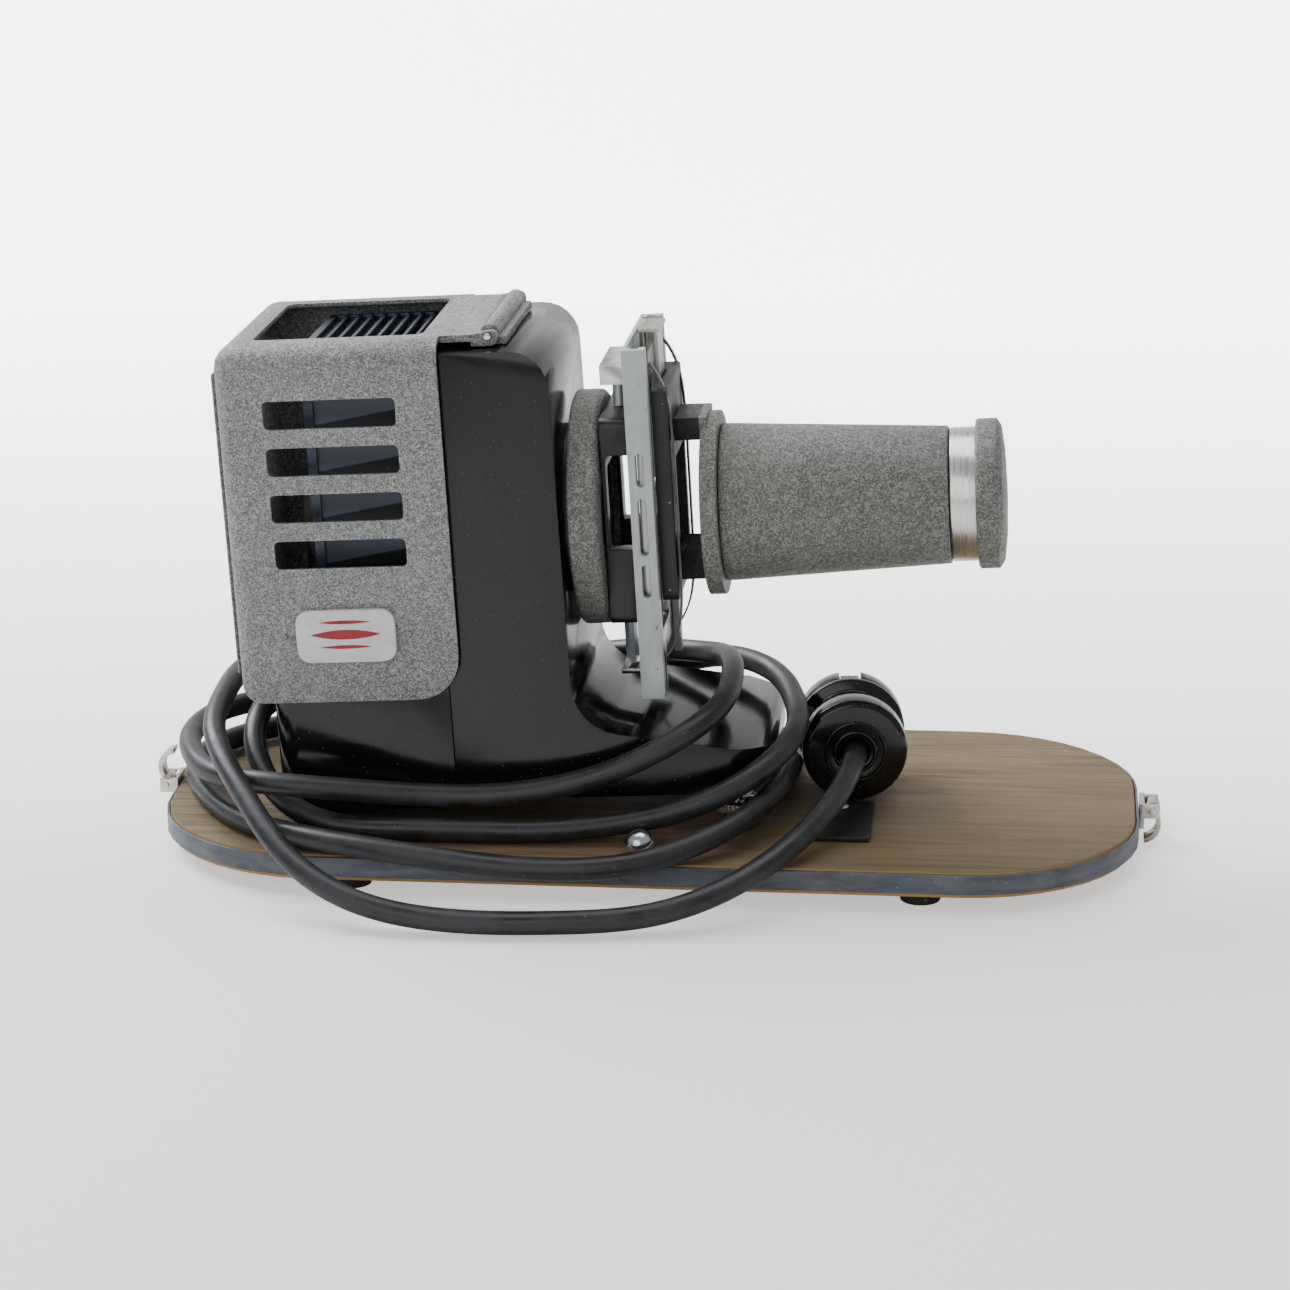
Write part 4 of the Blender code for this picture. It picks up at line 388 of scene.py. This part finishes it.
satin_black, tree, shader = new_finish("satin_black_paint", (0.018, 0.018, 0.02), 0.42)
marks = use_group(tree, HANDLED, object_place(tree),
                  **{"Smudge size": 60, "Dust grains": 500, "Dust share": 0.1})
tree.links.new(mixed(tree, marks["Dust"], (0.018, 0.018, 0.02), (0.3, 0.3, 0.3)), shader.inputs["Base Color"])
tree.links.new(ramp(tree, marks["Smudges"], ((0.3, (0.34,) * 3), (0.7, (0.55,) * 3))),
               shader.inputs["Roughness"])
feed_bump(tree, shader, marks["Smudges"], 0.0003, 0.4)
for name in ("plug_bracket", "condenser_neck", "guide_plate", "inlet_elbow"):
    dress(name, satin_black, 0.0003)


# ---------------------------------------------------------------- the cast body
# A light-alloy casting in glossy black enamel, in two parts that meet in a
# fine upright seam. Its edges are well rounded and its foot runs out forwards.
black_enamel, tree, shader = new_finish("black_enamel", (0.006, 0.006, 0.0085), 0.14)
marks = use_group(tree, HANDLED, object_place(tree),
                  **{"Smudge size": 26, "Dust grains": 900, "Dust share": 0.10})
tree.links.new(mixed(tree, marks["Dust"], (0.0055, 0.0055, 0.007), (0.10, 0.10, 0.10)),
               shader.inputs["Base Color"])
gloss = ramp(tree, marks["Smudges"], ((0.35, (0.09,) * 3), (0.65, (0.24,) * 3)))
tree.links.new(mixed(tree, marks["Dust"], gloss, (0.8, 0.8, 0.8)), shader.inputs["Roughness"])
ripple = new_node(tree, "ShaderNodeTexNoise", {"Scale": 160, "Detail": 2})
tree.links.new(object_place(tree), ripple.inputs["Vector"])
feed_bump(tree, shader, ripple.outputs["Fac"], 0.0002, 0.12)
dress("front_casting", black_enamel, 0.0035, segments=4)
dress("rear_base", black_enamel, 0.0005)


# ---------------------------------------------------------------- wrinkle finish
# The sheet lamp cover is in a grey wrinkle paint with a painted highlight, a pale vein, on every ridge. The ring,
# lens carrier, tube and cap have a darker, coarser coat.
WRINKLE, enter, leave = new_group("wrinkle_skin", {"Ridges per metre": 700}, ("Ridge", "Height"))
fold = new_node(WRINKLE, "ShaderNodeTexNoise", {"Detail": 2, "Roughness": 0.5, "Distortion": 1.2})
WRINKLE.links.new(enter.outputs["Vector"], fold.inputs["Vector"])
WRINKLE.links.new(enter.outputs["Ridges per metre"], fold.inputs["Scale"])
centred = math_node(WRINKLE, "SUBTRACT", fold.outputs["Fac"], 0.5)
away = math_node(WRINKLE, "ABSOLUTE", centred, 0)
ridge = math_node(WRINKLE, "SUBTRACT", 1.0, math_node(WRINKLE, "MULTIPLY", away, 9.0), True)
WRINKLE.links.new(ridge, leave.inputs["Ridge"])
WRINKLE.links.new(math_node(WRINKLE, "POWER", ridge, 0.7), leave.inputs["Height"])


def wrinkle_paint(name, deep, pale, ridges, roughness, depth):
    """Wrinkle paint: deep grey between its ridges, a pale painted highlight on its ridges, glossier on the ridges,
    with broad uneven patches.
    """
    material, tree, shader = new_finish(name, deep, roughness)
    place = object_place(tree)
    skin = use_group(tree, WRINKLE, place, **{"Ridges per metre": ridges})
    marks = use_group(tree, HANDLED, place, **{"Smudge size": 40, "Dust share": 0.03})
    darker, lighter = tuple(0.86 * c for c in deep), tuple(1.12 * c for c in deep)
    uneven = ramp(tree, marks["Smudges"], ((0.3, darker), (0.7, lighter)))
    # Painted highlight: the pale colour lies on the ridges of the wrinkle pattern.
    ridge_highlight = ramp(tree, skin["Ridge"], ((0.35, (0, 0, 0)), (1.0, (0.85,) * 3)))
    tree.links.new(mixed(tree, ridge_highlight, uneven, pale), shader.inputs["Base Color"])
    tree.links.new(ramp(tree, skin["Ridge"], ((0.2, (roughness + 0.12,) * 3), (0.9, (roughness - 0.1,) * 3))),
                   shader.inputs["Roughness"])
    feed_bump(tree, shader, skin["Height"], depth, 0.8)
    return material


cover_paint = wrinkle_paint("cover_wrinkle_grey", (0.160, 0.164, 0.160), (0.62, 0.64, 0.64), 980, 0.45, 0.0001)
carrier_paint = wrinkle_paint("carrier_wrinkle_grey", (0.120, 0.122, 0.112), (0.42, 0.43, 0.41), 760, 0.40, 0.00016)
for name in ("lamp_cover", "cover_rear_panel", "hinge_knuckle"):
    dress(name, cover_paint, 0.0003)
for name in ("turning_ring", "lens_tube"):
    dress(name, carrier_paint, 0.0006)


LEAN = np.radians(3)
REAR_FEET_X = -0.112


def tilted(u, v, w):
    """The place in the room of a point in the projector's own frame, which leans back 3 degrees on its rear feet."""
    return np.stack(np.broadcast_arrays(REAR_FEET_X + u * np.cos(LEAN) - w * np.sin(LEAN), v,
                                        BOARD_TOP + u * np.sin(LEAN) + w * np.cos(LEAN)), axis=-1)


def along_lens(tree):
    """How far along the lens axis and how high above the board each point is, in the projector's own frame."""
    cosine, sine = float(np.cos(LEAN)), float(np.sin(LEAN))
    split = new_node(tree, "ShaderNodeSeparateXYZ")
    tree.links.new(object_place(tree), split.inputs["Vector"])
    x = math_node(tree, "ADD", split.outputs["X"], -REAR_FEET_X)
    z = math_node(tree, "SUBTRACT", split.outputs["Z"], BOARD_TOP)
    u = math_node(tree, "ADD", math_node(tree, "MULTIPLY", x, cosine), math_node(tree, "MULTIPLY", z, sine))
    w = math_node(tree, "SUBTRACT", math_node(tree, "MULTIPLY", z, cosine), math_node(tree, "MULTIPLY", x, sine))
    return u, w


# The lens carrier's flange has the wrinkle coat, and its two arms inside the cage are coloured near-black: painted
# shade.
ARM_FRONT = 0.1350
carrier_two = carrier_paint.copy()
carrier_two.name = "carrier_flange_and_arms"
tree = carrier_two.node_tree
shader = tree.nodes["Principled BSDF"]
u, _ = along_lens(tree)
# Painted shade: everything behind ARM_FRONT, the arms, is coloured near-black.
shaded_arm = math_node(tree, "LESS_THAN", u, ARM_FRONT)
skin_colour = shader.inputs["Base Color"].links[0].from_socket
tree.links.new(mixed(tree, shaded_arm, skin_colour, (0.016, 0.016, 0.015)), shader.inputs["Base Color"])
dress("lens_carrier", carrier_two, 0.0012)

# The slide gate is black, with bare bright leaves above and below.
LENS_AXIS = 0.092
LEAF_REACH = 0.0342
gate_paint, tree, shader = new_finish("gate_black", (0.014, 0.014, 0.014), 0.35)
_, w = along_lens(tree)
from_axis = math_node(tree, "ABSOLUTE", math_node(tree, "SUBTRACT", w, LENS_AXIS), 0)
leaf = math_node(tree, "GREATER_THAN", from_axis, LEAF_REACH)
tree.links.new(mixed(tree, leaf, (0.014, 0.014, 0.014), (0.46, 0.50, 0.53)), shader.inputs["Base Color"])
tree.links.new(math_node(tree, "MULTIPLY", leaf, 0.6), shader.inputs["Metallic"])
dress("slide_gate", gate_paint, 0.0006)


# ---------------------------------------------------------------- the nameplate
# A small plate in glossy white enamel with a raised rim, held by two pins.
# In place of a name it has three plain red rules.
white_enamel, tree, shader = new_finish("white_enamel", (0.78, 0.79, 0.79), 0.18)
marks = use_group(tree, HANDLED, object_place(tree), **{"Smudge size": 200, "Dust share": 0.04})
tree.links.new(ramp(tree, marks["Smudges"], ((0.35, (0.70, 0.71, 0.71)), (0.65, (0.80, 0.81, 0.81)))),
               shader.inputs["Base Color"])
dress("nameplate", white_enamel, 0.0005)


def slab(outline, back, front):
    """A closed slab on the projector's side: its outline in u and w, extruded from v = back to v = front."""
    outline = np.asarray(outline, float)
    count = len(outline)
    points = np.concatenate([tilted(outline[:, 0], v, outline[:, 1]) for v in (back, front)])
    ring = np.arange(count)
    walls = np.stack([ring, (ring + 1) % count, (ring + 1) % count + count, ring + count], axis=1)
    return points, walls.tolist() + [list(range(count))[::-1], list(range(count, 2 * count))]


red_enamel, tree, shader = new_finish("red_enamel", (0.36, 0.012, 0.02), 0.22)
marks = use_group(tree, HANDLED, object_place(tree), **{"Smudge size": 300, "Dust share": 0.03})
tree.links.new(ramp(tree, marks["Smudges"], ((0.3, (0.30, 0.01, 0.018)), (0.7, (0.42, 0.018, 0.03)))),
               shader.inputs["Base Color"])
PLATE_MIDDLE = (0.0214, 0.0628)
PLATE_FACE = -0.0448
# half height of the rule = h (1 - t^2) over its length, so that it thins to a point at both ends
t = np.linspace(-1, 1, 41)
for name, drop, reach, thick in (("nameplate_rule_wide", 0.0006, 0.0115, 0.0016),
                                 ("nameplate_rule_low", -0.0035, 0.0085, 0.0006),
                                 ("nameplate_rule_high", 0.0047, 0.0085, 0.0006)):
    upper = np.stack([PLATE_MIDDLE[0] + reach * t, PLATE_MIDDLE[1] + drop + thick * (1 - t**2)], axis=1)
    lower = np.stack([PLATE_MIDDLE[0] + reach * t[::-1],
                      PLATE_MIDDLE[1] + drop - thick * (1 - t[::-1] ** 2)], axis=1)
    points, faces = slab(np.concatenate([upper[:-1], lower[:-1]]), PLATE_FACE + 0.0002, PLATE_FACE - 0.00012)
    new_piece(name, points, faces, red_enamel, "cover", smooth=False)


# ---------------------------------------------------------------- inside the lamp house
# The lamp in its ceramic socket, the silvered mirror behind it, blued steel
# heat shields that show through the slots, and the condenser's glasses.
blued_steel, tree, shader = new_finish("blued_steel", (0.035, 0.045, 0.065), 0.38, 0.75)
marks = use_group(tree, HANDLED, object_place(tree, (1, 1, 3)), **{"Smudge size": 35, "Dust share": 0.1})
tree.links.new(ramp(tree, marks["Smudges"], ((0.3, (0.035, 0.042, 0.06)), (0.7, (0.10, 0.115, 0.15)))),
               shader.inputs["Base Color"])
for name in ("vent_grille", "heat_filter_holder"):
    dress(name, blued_steel, 0.0002)

# Each heat shield is a flat blued sheet whose pressed louvres, leaning up to the front, are drawn with painted shade
# under each lip and a painted highlight on each face, with an upright post at its rear edge.
LOUVRE_SLOPE = 0.16
LOUVRE_START = 0.0745
LOUVRE_PITCH = 0.0152
SHIELD_LOW, SHIELD_HIGH = 0.006, 0.149
SHIELD_SIDE = 0.030
louvre_steel, tree, shader = new_finish("louvred_shield", (0.03, 0.036, 0.05), 0.42, 0.4)
u, w = along_lens(tree)
lean = math_node(tree, "SUBTRACT", w, math_node(tree, "MULTIPLY", u, LOUVRE_SLOPE))
risen = math_node(tree, "SUBTRACT", lean, LOUVRE_START)
step = math_node(tree, "FRACT", math_node(tree, "MULTIPLY", risen, 1 / LOUVRE_PITCH), 0)
marks = use_group(tree, HANDLED, object_place(tree),
                  **{"Smudge size": 60, "Dust grains": 900, "Dust share": 0.12})
# Painted light and shade for each louvre: painted shade under its lip, then a painted highlight on its face that
# fades towards the next.
louvre_light_and_shade = ramp(tree, step, ((0.0, (0.012, 0.013, 0.017)), (0.42, (0.016, 0.018, 0.024)),
                          (0.46, (0.10, 0.115, 0.15)), (1.0, (0.055, 0.064, 0.088))))
tree.links.new(mixed(tree, marks["Dust"], louvre_light_and_shade, (0.16, 0.17, 0.18)), shader.inputs["Base Color"])
feed_bump(tree, shader, step, 0.0012, 0.6)
for side, name in ((-1, "right"), (1, "left")):
    sheet = [(0.0135, SHIELD_LOW), (0.051, SHIELD_LOW), (0.051, SHIELD_HIGH), (0.0135, SHIELD_HIGH)]
    points, faces = slab(sheet, side * SHIELD_SIDE + 0.0006, side * SHIELD_SIDE - 0.0006)
    new_piece(f"louvred_shield_{name}", points, faces, louvre_steel, "stand", (f"heat_shield_{name}",), smooth=False)
    post = [(0.0112, SHIELD_LOW), (0.0142, SHIELD_LOW), (0.0142, SHIELD_HIGH), (0.0112, SHIELD_HIGH)]
    points, faces = slab(post, side * SHIELD_SIDE + 0.0014, side * SHIELD_SIDE - 0.0018)
    new_piece(f"shield_post_{name}", points, faces, blued_steel, "stand", smooth=False)


def clear_glass(name, tint):
    """Polished glass."""
    material, tree, shader = new_finish(name, tint, 0.03)
    shader.inputs["Transmission Weight"].default_value = 1.0
    shader.inputs["IOR"].default_value = 1.5
    film = new_node(tree, "ShaderNodeTexNoise", {"Scale": 90, "Detail": 3})
    tree.links.new(object_place(tree), film.inputs["Vector"])
    tree.links.new(ramp(tree, film.outputs["Fac"], ((0.4, (0.015,) * 3), (0.75, (0.09,) * 3))),
                   shader.inputs["Roughness"])
    return material


lens_glass = clear_glass("lens_glass", (0.90, 0.94, 0.95))
for name in ("condenser_lens_rear", "condenser_lens_front", "heat_filter", "lens_glass_rear",
             "lens_glass_front", "lamp"):
    dress(name, lens_glass, angle=40)
dress("reflector", plated("silvered_mirror", (0.92, 0.92, 0.92), 0.06), angle=40)
ceramic, tree, shader = new_finish("socket_ceramic", (0.62, 0.58, 0.50), 0.3)
marks = use_group(tree, HANDLED, object_place(tree), **{"Smudge size": 120, "Dust share": 0.06})
tree.links.new(ramp(tree, marks["Smudges"], ((0.3, (0.5, 0.46, 0.38)), (0.7, (0.64, 0.60, 0.52)))),
               shader.inputs["Base Color"])
dress("lamp_socket", ceramic, 0.0004)


# ---------------------------------------------------------------- the slide changer
# A pressed frame in pale grey-green paint, with a carriage of bare spring
# steel and two dark bow springs.
pale_paint, tree, shader = new_finish("pale_changer_paint", (0.52, 0.58, 0.55), 0.34)
marks = use_group(tree, HANDLED, object_place(tree, (1, 1, 0.5)),
                  **{"Smudge size": 70, "Dust grains": 450, "Dust share": 0.08})
pale_colour = ramp(tree, marks["Smudges"], ((0.32, (0.40, 0.44, 0.41)), (0.5, (0.50, 0.56, 0.53)),
                                            (0.7, (0.58, 0.64, 0.61))))
tree.links.new(mixed(tree, marks["Dust"], pale_colour, (0.2, 0.2, 0.19)), shader.inputs["Base Color"])
feed_bump(tree, shader, marks["Smudges"], 0.0002, 0.4)
dress("changer_frame", pale_paint, 0.0008)
spring_steel, tree, shader = new_finish("bare_spring_steel", (0.52, 0.51, 0.49), 0.3, 1.0)
brushed = new_node(tree, "ShaderNodeTexNoise", {"Scale": 120, "Detail": 4})
tree.links.new(object_place(tree, (8, 8, 0.6)), brushed.inputs["Vector"])
tree.links.new(ramp(tree, brushed.outputs["Fac"], ((0.3, (0.22,) * 3), (0.7, (0.45,) * 3))),
               shader.inputs["Roughness"])
tree.links.new(ramp(tree, brushed.outputs["Fac"], ((0.3, (0.38, 0.37, 0.35)), (0.7, (0.6, 0.59, 0.57)))),
               shader.inputs["Base Color"])
for name in ("slide_carriage", "chassis_plate"):
    dress(name, spring_steel, 0.00015)

# Two dark bow springs press the slide back, one beside each rail: a strip
# 0.7 mm thick bowed over the guide plate.
bow_steel, tree, shader = new_finish("dark_bow_steel", (0.07, 0.068, 0.06), 0.35, 0.8)
marks = use_group(tree, HANDLED, object_place(tree), **{"Smudge size": 150, "Dust share": 0.05})
tree.links.new(ramp(tree, marks["Smudges"], ((0.3, (0.03, 0.03, 0.028)), (0.7, (0.13, 0.125, 0.11)))),
               shader.inputs["Base Color"])
# u = foot + rise (1 - |t|^6) and w = middle + reach t, for t from -1 to 1
BOW_SIDE = 0.0203
BOW_HALF_WIDTH = 0.0013
t = np.linspace(-1, 1, 61)
bow_w = 0.0945 + 0.0485 * t
outer_u = 0.1217 + 0.0062 * (1 - np.abs(t) ** 6)
inner_u = outer_u - 0.0007
bow_outline = np.concatenate([np.stack([outer_u, bow_w], axis=1), np.stack([inner_u, bow_w], axis=1)[::-1]])
for side, name, gone in ((-1, "right", ("upper_slide_spring",)), (1, "left", ("lower_slide_spring",))):
    points, faces = slab(bow_outline[::-1], side * BOW_SIDE + BOW_HALF_WIDTH, side * BOW_SIDE - BOW_HALF_WIDTH)
    new_piece(f"bow_spring_{name}", points, faces, bow_steel, "front_unit", gone, smooth=False)


# ---------------------------------------------------------------- the projection lens
# Its mount is bright turned aluminium with fine lathe lines, and a push-on
# cap in the same wrinkle paint as the tube closes it.
aluminium, tree, shader = new_finish("turned_aluminium", (0.80, 0.79, 0.76), 0.28, 1.0)
lathe = new_node(tree, "ShaderNodeTexNoise", {"Scale": 500, "Detail": 3})
tree.links.new(object_place(tree, (4, 0.02, 0.02)), lathe.inputs["Vector"])
tree.links.new(ramp(tree, lathe.outputs["Fac"], ((0.35, (0.20,) * 3), (0.65, (0.38,) * 3))),
               shader.inputs["Roughness"])
feed_bump(tree, shader, lathe.outputs["Fac"], 0.00008, 0.5)
dress("focus_ring", aluminium, 0.0003)
dress("lens_cell", aluminium, 0.0003)
dress("lens_cap", carrier_paint, 0.001)


# ---------------------------------------------------------------- plug and strain relief
# The plug is black moulded phenolic, polished on its barrel. The elbow's
# strain relief is soft black rubber.
phenolic, tree, shader = new_finish("black_phenolic", (0.007, 0.0065, 0.0065), 0.12)
marks = use_group(tree, HANDLED, object_place(tree),
                  **{"Smudge size": 60, "Dust grains": 900, "Dust share": 0.10})
tree.links.new(mixed(tree, marks["Dust"], (0.007, 0.0065, 0.0065), (0.12, 0.12, 0.12)),
               shader.inputs["Base Color"])
tree.links.new(ramp(tree, marks["Smudges"], ((0.35, (0.08,) * 3), (0.7, (0.22,) * 3))),
               shader.inputs["Roughness"])
for name in ("plug_shell", "plug_insert"):
    dress(name, phenolic, 0.0006)

# Two raised beads ring the cord's hole in the end of the plug.
PLUG_END = np.array((0.0676, -0.0105, 0.0315))
plug_turn = np.radians(7)
plug_across = np.array((np.cos(plug_turn), np.sin(plug_turn), 0))
plug_along = np.array((-np.sin(plug_turn), np.cos(plug_turn), 0))
# place = end + (R + r cos b)(cos a across + sin a up) + r sin b along: a torus round the plug's axis
a = np.linspace(0, 2 * np.pi, 48, endpoint=False)[:, None, None]
b = np.linspace(0, 2 * np.pi, 10, endpoint=False)[None, :, None]
for name, wide, thin in (("plug_bead_outer", 0.0098, 0.0006), ("plug_bead_inner", 0.0066, 0.0008)):
    spoke = np.cos(a) * plug_across + np.sin(a) * np.array((0, 0, 1))
    torus = PLUG_END + (wide + thin * np.cos(b)) * spoke + thin * np.sin(b) * plug_along
    new_piece(name, torus, grid_faces(48, 10, around=True, closed=True), phenolic, "stand")
dress("strain_relief", foot_rubber, 0.0004)


# ---------------------------------------------------------------- floor and light
# A pale sheet that curves up behind the object, with a painted glow that only the camera sees, faint near the object
# and bright up the curve behind it; a broad soft light from the upper left, one from above, and weak light from the
# front.
floor_paper, tree, shader = new_finish("pale_floor", (0.80, 0.785, 0.77), 0.55)
cloud = new_node(tree, "ShaderNodeTexNoise", {"Scale": 3, "Detail": 2})
tree.links.new(object_place(tree), cloud.inputs["Vector"])
tree.links.new(ramp(tree, cloud.outputs["Fac"], ((0.3, (0.79, 0.775, 0.765)), (0.7, (0.82, 0.81, 0.80)))),
               shader.inputs["Base Color"])
back = new_node(tree, "ShaderNodeSeparateXYZ")
tree.links.new(object_place(tree), back.inputs["Vector"])
depth = math_node(tree, "MULTIPLY", math_node(tree, "ADD", back.outputs["Y"], 0.9), 0.55, True)
# Painted light: the sheet glows for camera rays, faintly near the object and ever brighter up the curve behind it,
# and only dimly for other rays.
shader.inputs["Emission Strength"].default_value = 1.0
painted_glow = ramp(tree, depth, ((0.0, (0.62, 0.60, 0.58)), (0.45, (0.62, 0.61, 0.59)), (0.75, (2.6, 2.65, 2.72)),
                          (1.0, (4.6, 4.8, 5.1))))
seen = new_node(tree, "ShaderNodeLightPath")
tree.links.new(mixed(tree, seen.outputs["Is Camera Ray"], (0.05, 0.05, 0.05), painted_glow),
               shader.inputs["Emission Color"])
bend = np.linspace(0, np.pi / 2, 24)
sweep_y = np.concatenate(([-3.0, 0.6], 1.2 + 1.2 * np.sin(bend), [2.4]))
sweep_z = np.concatenate(([0.0, 0.0], 1.2 - 1.2 * np.cos(bend), [4.0]))
across_x = np.linspace(-4, 4, 9)
sheet_points = np.stack(np.broadcast_arrays(across_x, sweep_y[:, None], sweep_z[:, None]), axis=-1)
floor_mesh = bpy.data.meshes.new("floor")
floor_faces = [face[::-1] for face in grid_faces(len(sweep_y), len(across_x))]
floor_mesh.from_pydata(sheet_points.reshape(-1, 3).tolist(), [], floor_faces)
floor_mesh.polygons.foreach_set("use_smooth", np.ones(len(floor_mesh.polygons), bool))
floor_mesh.materials.append(floor_paper)
floor = bpy.data.objects.new("floor", floor_mesh)
bpy.context.scene.collection.objects.link(floor)


def soft_light(name, place, target, width, height, power, colour):
    """A rectangular light at place that shines at target."""
    data = bpy.data.lights.new(name, "AREA")
    data.shape = "RECTANGLE"
    data.size, data.size_y, data.energy, data.color = width, height, power, colour
    light = bpy.data.objects.new(name, data)
    bpy.context.scene.collection.objects.link(light)
    back = np.subtract(place, target)
    back = back / np.linalg.norm(back)
    side = np.cross((0, 0, 1), back)
    side /= np.linalg.norm(side)
    top = np.cross(back, side)
    turned = np.stack([side, top, back], axis=1)
    light.matrix_world = Matrix([(*row, at) for row, at in zip(turned, place)] + [(0, 0, 0, 1)])


soft_light("window", (-1.4, 0.9, 1.5), (0, 0, 0.05), 1.3, 1.1, 60, (0.95, 0.97, 1.0))
soft_light("ceiling", (0.0, 0.5, 2.2), (0, 0.2, 0), 2.2, 1.8, 27, (1, 0.985, 0.97))
soft_light("fill", (-0.7, -2.2, 1.1), (0, 0, 0.1), 2.2, 1.6, 15, (1, 0.98, 0.96))
world = bpy.data.worlds.new("studio")
bpy.context.scene.world = world
world.use_nodes = True
world.node_tree.nodes["Background"].inputs["Color"].default_value = (0.95, 0.97, 1.0, 1)
world.node_tree.nodes["Background"].inputs["Strength"].default_value = 0.36
